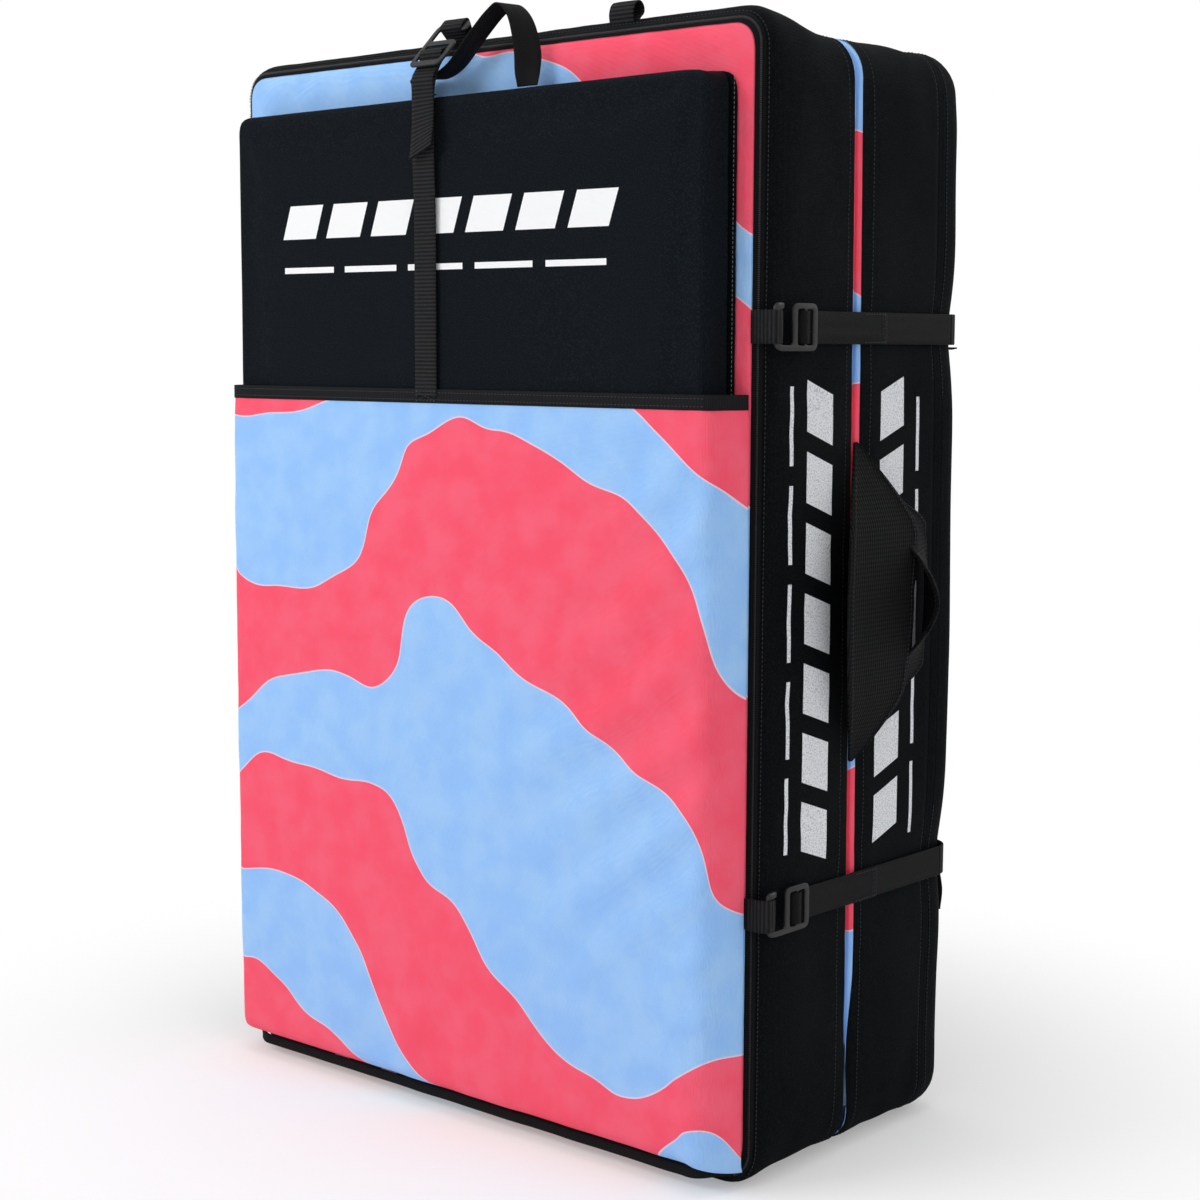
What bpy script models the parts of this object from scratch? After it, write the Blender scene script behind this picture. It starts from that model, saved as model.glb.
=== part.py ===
# Bouldering crash pad, folded in half and standing on its end. Metres, +Z up.
# Built about the middle of the folded pad: x = 0 mid width, y = 0 the fold gap, z = 0 the floor.
# -Y is the printed face with the pocket, +Y the face with the carrying harness,
# +X the open side with the straps and grab handles, -X the fabric hinge.

import bpy
import bmesh
from math import acos, cos, pi, radians, sin
from mathutils import Matrix, Vector

# Pad halves
pad_width = 0.711
pad_height = 1.077
half_thickness = 0.140
back_padding = 0.032
fold_gap = 0.014
corner_radius = 0.035
outer_edge_radius = 0.025
landing_edge_radius = 0.008
cover_thickness = 0.002
panel_lip = 0.0035
back_panel_lip = 0.040
zip_width = 0.009
base_foam_thickness = 0.020
top_foam_thickness = 0.025

# Clearances
seam_gap = 0.0003
foam_slip = 0.0005
pivot_gap = 0.0001
cut_overrun = 0.01
weld_distance = 0.00001

# Fabric hinge
hinge_fabric = 0.0016
hinge_overlap = 0.015
hinge_end_inset = 0.05
fold_axis_stand_off = 0.006

# Small pad and its pocket
small_left_margin = 0.036
small_right_margin = 0.036
small_top_drop = 0.057
small_bottom = 0.033
small_thickness = 0.038
small_corner_radius = 0.012
small_edge_radius = 0.008
small_back_thickness = 0.003
small_flange = 0.005
small_slip = 0.0005
pocket_slip = 0.001
pocket_side_slip = 0.002
pocket_fabric = 0.002
pocket_top = 0.735
binding_height = 0.014

# Webbing
strap_width = 0.030
strap_thickness = 0.0016
layer_gap = 0.0003
thread_out_share = 0.65
thread_over_share = 0.05
thread_through_share = 0.32
thread_turn_share = 0.42
thread_back_share = 0.15
layer_turn_share = 0.4

# Strap hooks
hook_height = 0.043
hook_thickness = 0.003
hook_rim = 0.007
hook_slot = 0.0095
hook_centre_bar = 0.004
hook_reach = 0.028
hook_bar = 0.008
hook_tip = 0.006
hook_corner = 0.006
hook_arm_round_share = 0.45
slot_side_slip = 0.001
slot_corner = 0.001

# Closure straps on the open side
upper_strap_z = 0.795
lower_strap_z = 0.262
hook_inset = 0.052
closure_double_length = 0.135
front_loop_angles = (radians(28), radians(42))
rear_edge_angles = (radians(10), radians(35), radians(60), radians(85))
adjuster_inset = 0.060
adjuster_tail_share = 0.7
strap_tail = 0.045
strap_tail_drop = 0.020
strap_tail_lift = 0.020

# Retaining strap over the small pad
retaining_x = -0.027
retaining_rise = 0.021
retaining_lean = radians(45)
retaining_tail = 0.080
retaining_hook_offset = 0.0215
retaining_tail_share = 0.85
retaining_layer_share = 1.3

# Loops at the top edge
loop_rise = 0.024
loop_depth = 0.014
haul_loop_x = 0.178
seam_angle = radians(45)
loop_foot_angle = radians(6)

# Lines that sewn loops follow: shares of the hook's bar, then of the webbing's stand-off along and up
side_loop_shares = [(1, 0.4, -1), (0, 0, -1), (0, -0.75, -0.6), (0, -1, 0), (0, -0.75, 0.6), (0, 0, 1),
                    (1, 0.4, 1)]
top_loop_shares = [(0, -1, -0.5), (0, -1, 0.4), (0, -0.4, 1), (1, 0.4, 1), (1, 1, 0.4), (1, 1, -0.5)]
haul_loop_shares = [(0, 0), (-0.10, 0.55), (0.15, 0.90), (0.60, 1.0), (0.95, 0.85), (1.0, 0.60),
                    (0.70, 0.42), (0.34, 0.16)]

# Grab handles
handle_low_margin = 0.125
handle_high_margin = 0.106
handle_width = 0.090
handle_tip_width = 0.003
handle_thickness = 0.0025
handle_stand_off = 0.0021
front_handle_bow = 0.035
front_handle_shift = 0.0175
rear_handle_bow = 0.040
rear_handle_shift = 0.075
rear_handle_twist = radians(41)
rear_handle_inset = 0.030
handle_taper_share = 0.22
front_crest_power = 1
rear_crest_power = 3

# Handle on the small pad
carry_left_x = -0.045
carry_right_x = 0.088
carry_rise = 0.078
carry_bulge = 0.018
carry_pass = 0.0175
carry_width = 0.026
# Shares of the bulge, the span, the pass and the rise, then the webbing's turn in degrees
carry_shares = [(0, 0, 0, 0, 0), (-0.7, 0, 0.40, 0, -40), (-1, 0, 0.72, 0, -65), (-0.3, 0, 1, 0, -88),
                (0, 0.12, 1, 0, -90), (0, 0.28, 0, 0.33, -90), (0, 0.50, 0, 0.66, -92),
                (0, 0.70, 0, 0.93, -95), (0, 0.80, 0, 1, -100), (0, 0.92, 0, 0.84, -112),
                (0, 1, 0, 0.42, -135), (0, 1, 0, 0.16, -160), (0, 1, 0, 0, -180)]

# Zips
slider_length = 0.012
slider_width = 0.009
slider_height = 0.0035
slider_bevel = 0.001
left_slider_x = -0.218
right_slider_x = -0.121
slider_angle = radians(38)
pull_length = 0.024
pull_width = 0.007
pull_thickness = 0.0012
pull_hole = 0.003
pull_hole_length = 0.0045
pull_hole_inset = 0.0048
pull_round_share = 0.4

# Carrying harness
yoke_width = 0.240
yoke_height = 0.060
yoke_thickness = 0.003
yoke_corner = 0.010
yoke_drop = 0.187
shoulder_length = 0.350
shoulder_width = 0.062
shoulder_thickness = 0.012
shoulder_top_x = 0.068
shoulder_spread = 0.050
shoulder_curve = 1.6
shoulder_narrow_share = 0.75
shoulder_edge_share = 0.3
buckle_length = 0.034
buckle_width = 0.034
buckle_thickness = 0.004
buckle_slot = 0.008
buckle_bar = 0.004
shoulder_webbing_width = 0.025
shoulder_tail = 0.110
anchor_size = 0.045
anchor_inset = 0.1775
anchor_reach = 0.1475
belt_drop = 0.067
belt_root_inset = 0.1455
belt_width = 0.038
belt_thickness = 0.003
clip_length = 0.040
clip_thickness = 0.009
clip_middle_gap = 0.0047
prong_length = 0.024
prong_thickness = 0.005
prong_spread_share = 0.62
prong_width_share = 0.2
prong_stem_share = 0.4
patch_thickness = 0.003
patch_length = 0.050
patch_overlap = 0.012
sheet_edge_share = 0.33

# Values worked out from the sizes above
half_depth = fold_gap / 2 + half_thickness
rear_thickness = half_thickness + back_padding
rear_depth = fold_gap / 2 + rear_thickness
side_x = pad_width / 2
fold_x = -side_x - fold_axis_stand_off
lip_angle = acos(1 - panel_lip / outer_edge_radius)
seam_inset = outer_edge_radius * (1 - sin(lip_angle))
small_width = pad_width - small_left_margin - small_right_margin
small_offset = (small_left_margin - small_right_margin) / 2
small_back_y = -half_depth - small_slip
small_front_y = small_back_y - small_thickness
pocket_front_y = small_front_y - pocket_slip - pocket_fabric
small_top = pad_height - small_top_drop
small_height = small_top - small_bottom
retaining_bend_z = small_top + retaining_rise
hook_y = -half_depth + hook_inset
handle_low = lower_strap_z + handle_low_margin
handle_high = upper_strap_z - handle_high_margin
yoke_z = pad_height - yoke_drop
shoulder_top_z = yoke_z - yoke_height / 2 - foam_slip
anchor_z = shoulder_top_z - shoulder_length - anchor_reach
belt_z = anchor_z - belt_drop
anchor_x = side_x - anchor_inset
belt_root_x = side_x - belt_root_inset
belt_length = belt_root_x - clip_length - seam_gap - clip_middle_gap
layer_offset = hook_thickness / 2 + layer_gap + strap_thickness / 2
layer_pitch = strap_thickness + layer_gap
hook_frame = 2 * hook_rim + 2 * hook_slot + hook_centre_bar
handle_reach = rear_handle_bow + handle_width / 2 * sin(rear_handle_twist)
harness_reach = seam_gap + shoulder_thickness
front_reach = -pocket_front_y + strap_thickness + layer_pitch

smooth_steps = 4
plain_steps = 2

black_fabric = (0.012, 0.012, 0.016)
black_webbing = (0.016, 0.017, 0.021)
printed_fabric = (0.86, 0.14, 0.19)
pale_foam = (0.55, 0.58, 0.60)
grey_foam = (0.20, 0.21, 0.22)
black_metal = (0.02, 0.02, 0.022)
black_plastic = (0.015, 0.015, 0.017)
bright_metal = (0.60, 0.61, 0.63)

for old in list(bpy.data.objects):
    bpy.data.objects.remove(old, do_unlink=True)

pieces = bpy.data.collections.new("crash_pad")
cutters = bpy.data.collections.new("cutters")
bpy.context.scene.collection.children.link(pieces)
bpy.context.scene.collection.children.link(cutters)

axis_places = {}


def add_axis(name, place, parent=None):
    # An empty on a joint's axis. What it carries keeps its place in the pad's own frame.
    empty = bpy.data.objects.new(name, None)
    pieces.objects.link(empty)
    empty.location = place
    axis_places[name] = Vector(place)
    if parent:
        attach(empty, parent)
    return empty


def attach(child, parent):
    child.parent = parent
    child.matrix_parent_inverse = Matrix.Translation(-axis_places[parent.name])


def set_finish(obj, colour, roughness, metallic=0.0):
    material = bpy.data.materials.new(obj.name)
    material.use_nodes = True
    shader = material.node_tree.nodes["Principled BSDF"]
    shader.inputs["Base Color"].default_value = (*colour, 1)
    shader.inputs["Roughness"].default_value = roughness
    shader.inputs["Metallic"].default_value = metallic
    obj.data.materials.clear()
    obj.data.materials.append(material)


def add_mesh(name, bm, parent, collection=None):
    mesh = bpy.data.meshes.new(name)
    bm.to_mesh(mesh)
    bm.free()
    obj = bpy.data.objects.new(name, mesh)
    (collection or pieces).objects.link(obj)
    attach(obj, parent)
    if collection is cutters:
        obj.hide_render = True
        obj.display_type = "WIRE"
    return obj


def cut(obj, cutter):
    boolean = obj.modifiers.new("cut_" + cutter.name, "BOOLEAN")
    boolean.operation = "DIFFERENCE"
    boolean.solver = "EXACT"
    boolean.object = cutter


def bevel_edges(bm, edges, radius, steps):
    bmesh.ops.bevel(bm, geom=edges, offset=radius, segments=steps, profile=0.5,
                    affect="EDGES", clamp_overlap=False)


def rounded_block(size, corner, front_radius, back_radius, steps):
    # A box with rounded corners seen along Y, and its own radius on the front and back rims.
    bm = bmesh.new()
    bmesh.ops.create_cube(bm, size=1)
    bmesh.ops.scale(bm, vec=size, verts=bm.verts)
    depth = size[1]
    along = [e for e in bm.edges if abs(e.verts[0].co.y - e.verts[1].co.y) > depth / 2]
    bevel_edges(bm, along, corner, smooth_steps)
    for side, radius in ((-1, front_radius), (1, back_radius)):
        rim = [e for e in bm.edges if all(v.co.y * side > depth / 2 - weld_distance for v in e.verts)]
        bevel_edges(bm, rim, radius, steps if side < 0 else plain_steps)
    return bm


def keep_between(bm, axis, low, high):
    # Cuts a solid at two planes across an axis and closes both cuts.
    normal = Vector((0, 0, 0))
    normal["XYZ".index(axis)] = 1
    for place, side in ((low, -1), (high, 1)):
        geometry = bm.verts[:] + bm.edges[:] + bm.faces[:]
        made = bmesh.ops.bisect_plane(bm, geom=geometry, dist=weld_distance, plane_co=normal * place,
                                      plane_no=normal * side, clear_outer=True)
        rim = [g for g in made["geom_cut"] if isinstance(g, bmesh.types.BMEdge)]
        if rim:
            bmesh.ops.edgeloop_fill(bm, edges=rim)
    return bm


def strip(name, sections, thickness, parent, colour, roughness):
    # A band through a row of sections, each a centre and half of its width, given thickness.
    bm = bmesh.new()
    rows = [(bm.verts.new(centre - half), bm.verts.new(centre + half)) for centre, half in sections]
    for (a, b), (c, d) in zip(rows, rows[1:]):
        bm.faces.new((a, b, d, c))
    obj = add_mesh(name, bm, parent)
    wall = obj.modifiers.new("thickness", "SOLIDIFY")
    wall.thickness = thickness
    wall.offset = 0
    wall.use_even_offset = True
    set_finish(obj, colour, roughness)
    return obj


def round_outline(corners, radius, steps=3):
    # Rounds each corner of a closed outline with an arc that touches both of its sides.
    points = []
    count = len(corners)
    for i, corner in enumerate(corners):
        here = Vector(corner)
        back = (Vector(corners[i - 1]) - here).normalized()
        ahead = (Vector(corners[(i + 1) % count]) - here).normalized()
        for step in range(steps + 1):
            share = step / steps
            points.append(here + radius * (back * (1 - share) ** 2 + ahead * share ** 2))
    return points


def rectangle(centre_x, centre_y, length, height):
    left, right = centre_x - length / 2, centre_x + length / 2
    low, high = centre_y - height / 2, centre_y + height / 2
    return [(left, low), (right, low), (right, high), (left, high)]


def plate(name, outlines, thickness, frame, parent, finish):
    # A flat piece from an outline and its holes, turned into the pad's frame.
    curve = bpy.data.curves.new(name, "CURVE")
    curve.dimensions = "2D"
    curve.fill_mode = "BOTH"
    curve.extrude = thickness / 2
    for points in outlines:
        spline = curve.splines.new("POLY")
        spline.points.add(len(points) - 1)
        for point, place in zip(spline.points, points):
            point.co = (place[0], place[1], 0, 1)
        spline.use_cyclic_u = True
    flat = bpy.data.objects.new(name + "_outline", curve)
    pieces.objects.link(flat)
    depsgraph = bpy.context.evaluated_depsgraph_get()
    mesh = bpy.data.meshes.new_from_object(flat.evaluated_get(depsgraph))
    bm = bmesh.new()
    bm.from_mesh(mesh)
    bmesh.ops.remove_doubles(bm, verts=bm.verts, dist=weld_distance)
    bmesh.ops.recalc_face_normals(bm, faces=bm.faces)
    obj = add_mesh(name, bm, parent)
    obj.matrix_basis = frame
    bpy.data.objects.remove(flat, do_unlink=True)
    bpy.data.meshes.remove(mesh)
    bpy.data.curves.remove(curve)
    set_finish(obj, *finish)
    return obj


def frame_at(place, along, outward):
    # A right-handed frame whose X runs along a strap and whose Z points away from the pad.
    along, outward = Vector(along).normalized(), Vector(outward).normalized()
    across = outward.cross(along)
    frame = Matrix((along, across, outward)).transposed().to_4x4()
    frame.translation = place
    return frame


def frame_sections(frame, path, width):
    # Sections across a frame, from pairs of distance along it and height above it.
    half = frame.to_3x3() @ Vector((0, width / 2, 0))
    return [(frame @ Vector((along, 0, height)), half) for along, height in path]


def threaded_path(tail, standing, bar, slot, offset):
    # A strap's own line through a buckle: its tail, over the centre bar, then the standing part.
    over = bar / 2 + slot * thread_over_share
    through = bar / 2 + slot * thread_through_share
    turn = bar / 2 + slot * thread_turn_share
    second = -offset - layer_pitch
    return [(-tail, -offset), (-bar / 2 - slot * thread_out_share, -offset), (-through, 0), (-over, offset),
            (over, offset), (through, 0), (turn, -offset - layer_pitch * layer_turn_share),
            (bar / 2 + slot * thread_back_share, second), (-standing, second)]


# The whole pad hangs from one empty that puts the floor's middle at the origin.
origin = add_axis("pad_origin", (0, 0, 0))
origin.location = ((fold_axis_stand_off / 2 - handle_reach) / 2,
                   (front_reach - rear_depth - harness_reach) / 2, 0)
fold = add_axis("fold_axis", (fold_x, 0, 0), origin)
halves = {"front": origin, "rear": fold}


thicknesses = {"front": half_thickness, "rear": rear_thickness}


def place_in_half(obj, half):
    # The rear half faces the other way, and its padded back makes it thicker.
    turned = half == "rear"
    middle = (fold_gap + thicknesses[half]) / 2
    obj.location = (0, middle if turned else -middle, pad_height / 2)
    obj.rotation_euler.z = pi if turned else 0


def pad_block(half, grow, steps):
    size = (pad_width + 2 * grow, thicknesses[half] + 2 * grow, pad_height + 2 * grow)
    return rounded_block(size, corner_radius + grow, outer_edge_radius + grow,
                         landing_edge_radius + grow, steps)


def cover_piece(name, half, low, high, cavity, colour):
    obj = add_mesh(name, keep_between(pad_block(half, 0, smooth_steps), "Y", low, high), halves[half])
    place_in_half(obj, half)
    cut(obj, cavity)
    set_finish(obj, colour, 0.8)
    return obj


def foam_layer(name, half, low, high, colour):
    block = pad_block(half, -cover_thickness - foam_slip, plain_steps)
    obj = add_mesh(name, keep_between(block, "Y", low, high), halves[half])
    place_in_half(obj, half)
    set_finish(obj, colour, 0.95)


def build_half(half):
    cavity = add_mesh(half + "_cavity", pad_block(half, -cover_thickness, plain_steps), halves[half],
                      cutters)
    place_in_half(cavity, half)
    thickness = thicknesses[half]
    outer = -thickness / 2
    lip = outer + (panel_lip if half == "front" else back_panel_lip)
    tape = lip + seam_gap + zip_width
    landing = thickness / 2 - landing_edge_radius
    edge_name = "front_zip_tape" if half == "front" else "rear_edge_binding"
    panel_colour = printed_fabric if half == "front" else black_fabric
    far = thickness
    cover_piece(half + "_outer_panel", half, -far, lip, cavity, panel_colour)
    cover_piece(edge_name, half, lip + seam_gap, tape, cavity, black_fabric)
    cover_piece(half + "_side_band", half, tape + seam_gap, landing, cavity, black_fabric)
    cover_piece(half + "_landing_panel", half, landing + seam_gap, far, cavity, printed_fabric)
    base = outer + cover_thickness + foam_slip + base_foam_thickness + thickness - half_thickness
    top = thickness / 2 - cover_thickness - foam_slip - top_foam_thickness
    foam_layer(half + "_foam_base", half, -far, base, grey_foam)
    foam_layer(half + "_foam_core", half, base + seam_gap, top, pale_foam)
    foam_layer(half + "_foam_top", half, top + seam_gap, far, grey_foam)


build_half("front")
build_half("rear")


def build_hinge_strip():
    bm = bmesh.new()
    bmesh.ops.create_cube(bm, size=1)
    width = fold_gap + 2 * landing_edge_radius + 2 * hinge_overlap
    size = (hinge_fabric, width, pad_height - 2 * hinge_end_inset)
    bmesh.ops.scale(bm, vec=size, verts=bm.verts)
    obj = add_mesh("hinge_strip", bm, origin)
    obj.location = (-side_x - seam_gap - hinge_fabric / 2, 0, pad_height / 2)
    set_finish(obj, black_fabric, 0.85)


build_hinge_strip()


def pocket_wedge(shrink, top):
    # The space behind the pocket: wide at the pad's seams, and narrower round the small pad.
    bm = bmesh.new()
    bmesh.ops.create_cube(bm, size=1)
    side = small_width / 2 + pocket_side_slip + pocket_fabric - shrink
    seam_x = side_x - seam_inset - shrink
    front_low = small_bottom - pocket_side_slip - pocket_fabric + shrink
    for vert in bm.verts:
        right, upper, at_back = vert.co.x > 0, vert.co.z > 0, vert.co.y > 0
        sign = 1 if right else -1
        if at_back:
            x, y = sign * seam_x, -half_depth + panel_lip + cover_thickness + shrink
            low = seam_inset + shrink
        else:
            x, y = small_offset + sign * side, pocket_front_y + shrink
            low = front_low
        vert.co = (x, y, top if upper else low)
    return bm


def build_pocket():
    open_top = pocket_top + cut_overrun
    inside = add_mesh("pocket_inside", pocket_wedge(pocket_fabric, open_top), origin, cutters)
    pad_cutter = add_mesh("pad_for_pocket", pad_block("front", seam_gap, smooth_steps), origin, cutters)
    place_in_half(pad_cutter, "front")
    split = pocket_top - binding_height
    for name, low, high, colour in (("pocket_panel", 0, split - seam_gap, printed_fabric),
                                    ("pocket_binding", split, open_top, black_webbing)):
        bm = pocket_wedge(0, pocket_top)
        obj = add_mesh(name, keep_between(bm, "Z", low, high), origin)
        cut(obj, inside)
        cut(obj, pad_cutter)
        set_finish(obj, colour, 0.8)


build_pocket()

small = add_axis("small_pad_axis", (small_offset, small_back_y, small_bottom), origin)


def build_small_pad():
    centre = (small_offset, (small_back_y - small_back_thickness - seam_gap + small_front_y) / 2,
              small_bottom + small_height / 2)
    depth = small_thickness - small_back_thickness - seam_gap
    size = (small_width, depth, small_height)

    def block(grow):
        grown = tuple(length + 2 * grow for length in size)
        return rounded_block(grown, small_corner_radius + grow, small_edge_radius + grow,
                             cover_thickness, plain_steps)

    cover = add_mesh("small_pad_cover", block(0), small)
    inside = block(-cover_thickness)
    for vert in inside.verts:
        if vert.co.y > 0:
            vert.co.y += cut_overrun
    cavity = add_mesh("small_pad_cavity", inside, small, cutters)
    cut(cover, cavity)
    foam = keep_between(block(-cover_thickness - foam_slip), "Y", -depth, depth / 2 - cover_thickness)
    foam = add_mesh("small_pad_foam", foam, small)
    for obj in (cover, cavity, foam):
        obj.location = centre
    back_width = small_width + 2 * small_flange
    back_size = (back_width, small_back_thickness, small_height + small_flange)
    edge = small_back_thickness * sheet_edge_share
    back = add_mesh("small_pad_back", rounded_block(back_size, small_corner_radius, edge, edge, 1), small)
    back.location = (small_offset, small_back_y - small_back_thickness / 2,
                     small_bottom + (small_height + small_flange) / 2 - small_flange)
    set_finish(cover, black_fabric, 0.8)
    set_finish(foam, pale_foam, 0.95)
    set_finish(back, black_fabric, 0.8)


build_small_pad()


def build_carry_handle():
    # Webbing sewn to the small pad's top edge at both ends, turned on edge where it passes the strap.
    pivot_z = small_top + strap_thickness / 2 + pivot_gap
    pivot_y = (small_back_y + small_front_y) / 2
    axis = add_axis("carry_handle_axis", (small_offset, pivot_y, pivot_z), small)
    span = carry_right_x - carry_left_x
    sections = []
    for bulge, along, low, high, turn in carry_shares:
        x = carry_left_x + bulge * carry_bulge + along * span
        height = low * carry_pass + high * carry_rise
        half = carry_width / 2 * Vector((cos(radians(turn)), sin(radians(turn)), 0))
        sections.append((Vector((x, pivot_y, pivot_z + height)), half))
    strip("small_pad_handle", sections, strap_thickness, axis, black_webbing, 0.7)


build_carry_handle()


def hook_outlines():
    # A closed frame with two slots either side of a bar, and an open hook beyond it.
    low, high = -hook_height / 2, hook_height / 2
    frame_left, frame_right = -hook_frame / 2, hook_frame / 2
    far = frame_right + hook_reach
    slot_height = strap_width + 2 * slot_side_slip
    arm = (hook_height - slot_height) / 2
    outer = [(frame_left, low), (frame_right, low), (frame_right, high - arm),
             (far - hook_bar, high - arm), (far - hook_bar, low + arm),
             (far - hook_bar - hook_tip, low + arm), (far - hook_bar - hook_tip, low),
             (far, low), (far, high), (frame_left, high)]
    slot_x = (hook_centre_bar + hook_slot) / 2
    outlines = [round_outline(outer, arm * hook_arm_round_share, 2)]
    for side in (-1, 1):
        outlines.append(round_outline(rectangle(side * slot_x, 0, hook_slot, slot_height), slot_corner, 1))
    return outlines


def bar_path(shares):
    # Points round the hook's open bar, along the strap and above it.
    return [(hook_bar_start + bar * hook_bar + along * layer_offset, up * layer_offset)
            for bar, along, up in shares]


def edge_point(angle, stand_off):
    # Across the pad's outer edge: distance in from the side, and distance in from the face.
    reach = outer_edge_radius + stand_off
    return outer_edge_radius - reach * sin(angle), outer_edge_radius - reach * cos(angle)


hook_bar_start = hook_frame / 2 + hook_reach - hook_bar
hook_metal = (black_metal, 0.45, 0.6)
buckle_plastic = (black_plastic, 0.4, 0.0)


def build_closure(level, z):
    inner_stand_off = seam_gap + foam_slip + strap_thickness / 2
    hook_x = side_x + inner_stand_off + layer_pitch + layer_offset
    strap_x = side_x + inner_stand_off
    pivot_y = rear_depth - outer_edge_radius
    pivot = add_axis(level + "_strap_axis", (strap_x, pivot_y, z), fold)
    frame = frame_at((hook_x, hook_y, z), (0, -1, 0), (1, 0, 0))
    plate(level + "_hook", hook_outlines(), hook_thickness, frame, pivot, hook_metal)
    path = threaded_path(closure_double_length, pivot_y - hook_y, hook_centre_bar, hook_slot, layer_offset)
    strip(level + "_strap", frame_sections(frame, path, strap_width), strap_thickness, pivot,
          black_webbing, 0.7)

    # The loop on the front half, sewn in under the zip tape and lying round the edge.
    half = Vector((0, 0, strap_width / 2))
    sections = []
    for angle in front_loop_angles:
        inset, depth = edge_point(angle, seam_gap + strap_thickness / 2)
        sections.append((Vector((side_x - inset, -half_depth + depth, z)), half))
    sections += [(frame @ Vector((a, 0, v)), half) for a, v in bar_path(side_loop_shares)]
    for angle in reversed(front_loop_angles):
        inset, depth = edge_point(angle, seam_gap + strap_thickness / 2 + layer_pitch)
        sections.append((Vector((side_x - inset, -half_depth + depth, z)), half))
    strip(level + "_front_loop", sections, strap_thickness, origin, black_webbing, 0.7)

    # Round the rear edge to an adjuster on the back, with the loose tail beside the edge.
    back_off = buckle_thickness / 2 + layer_gap + strap_thickness / 2 + layer_pitch
    adjuster_off = seam_gap + foam_slip + strap_thickness / 2 + back_off
    adjuster_x = side_x - outer_edge_radius - adjuster_inset
    place = (adjuster_x, rear_depth + adjuster_off, z)
    adjuster = frame_at(place, (-1, 0, 0), (0, 1, 0))
    slot_x = (buckle_bar + buckle_slot) / 2
    outlines = [round_outline(rectangle(0, 0, buckle_length, buckle_width + hook_rim), hook_corner / 2)]
    slot_width = strap_width + 2 * slot_side_slip
    for side in (-1, 1):
        outlines.append(round_outline(rectangle(side * slot_x, 0, buckle_slot, slot_width), slot_corner, 1))
    plate(level + "_adjuster", outlines, buckle_thickness, adjuster, fold, buckle_plastic)
    offset = back_off - layer_pitch
    path = threaded_path(buckle_length * adjuster_tail_share, adjuster_inset, buckle_bar, buckle_slot, offset)
    sections = frame_sections(adjuster, path, strap_width)
    tail_root = sections[0]
    tail = [(tail_root[0] + Vector((strap_tail + strap_tail_lift, strap_tail_lift, -strap_tail_drop)), half),
            (tail_root[0] + Vector((strap_tail, layer_pitch, -strap_tail_drop)), half)]
    base = []
    for angle in rear_edge_angles:
        inset, depth = edge_point(angle, inner_stand_off)
        base.append((Vector((side_x - inset, rear_depth - depth, z)), half))
    base.append((Vector((strap_x, pivot_y + strap_thickness / 2 + pivot_gap, z)), half))
    strip(level + "_strap_base", [(c, -h) for c, h in tail] + [(c, -half) for c, h in sections]
          + [(c, -h) for c, h in base], strap_thickness, fold, black_webbing, 0.7)


build_closure("upper", upper_strap_z)
build_closure("lower", lower_strap_z)


def build_retaining_strap():
    strap_y = pocket_front_y - seam_gap - strap_thickness / 2
    pivot_z = pocket_top - binding_height / 2
    pivot = add_axis("retaining_strap_axis", (retaining_x, strap_y, pivot_z), origin)
    bend = Vector((retaining_x, strap_y, retaining_bend_z))
    along = Vector((0, sin(retaining_lean), cos(retaining_lean)))
    outward = Vector((0, -cos(retaining_lean), sin(retaining_lean)))
    rise = layer_offset + layer_pitch
    frame = frame_at(bend + along * retaining_hook_offset + outward * rise, along, outward)
    plate("retaining_hook", hook_outlines(), hook_thickness, frame, pivot, hook_metal)
    path = threaded_path(retaining_hook_offset * retaining_tail_share, retaining_hook_offset,
                         hook_centre_bar, hook_slot, layer_offset)
    half = frame.to_3x3() @ Vector((0, strap_width / 2, 0))
    front_y = strap_y - layer_pitch * retaining_layer_share
    tail = [(Vector((retaining_x, front_y, retaining_bend_z - retaining_tail)), half),
            (Vector((retaining_x, front_y, retaining_bend_z - strap_thickness)), half)]
    standing = [(Vector((retaining_x, strap_y, pivot_z)), half)]
    strip("retaining_strap", tail + frame_sections(frame, path, strap_width) + standing,
          strap_thickness, pivot, black_webbing, 0.7)

    # Short loop in the top edge seam that passes up through the hook and over its bar.
    start = edge_point(seam_angle - loop_foot_angle, seam_gap + strap_thickness / 2)
    end = edge_point(seam_angle + loop_foot_angle, seam_gap + strap_thickness / 2)
    sections = [(Vector((retaining_x, -half_depth + start[1], pad_height - start[0])), half)]
    sections += [(frame @ Vector((a, 0, v)), half) for a, v in bar_path(top_loop_shares)]
    sections.append((Vector((retaining_x, -half_depth + end[1], pad_height - end[0])), half))
    strip("retaining_loop", sections, strap_thickness, origin, black_webbing, 0.7)


build_retaining_strap()


def build_haul_loop():
    half = Vector((strap_width / 2, 0, 0))
    start = edge_point(seam_angle, seam_gap + strap_thickness / 2)
    foot = Vector((haul_loop_x, -half_depth + start[1], pad_height - start[0]))
    sections = [(foot + Vector((0, y * loop_depth, z * loop_rise)), half) for y, z in haul_loop_shares]
    strip("haul_loop", sections, strap_thickness, origin, black_webbing, 0.7)


build_haul_loop()


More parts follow.
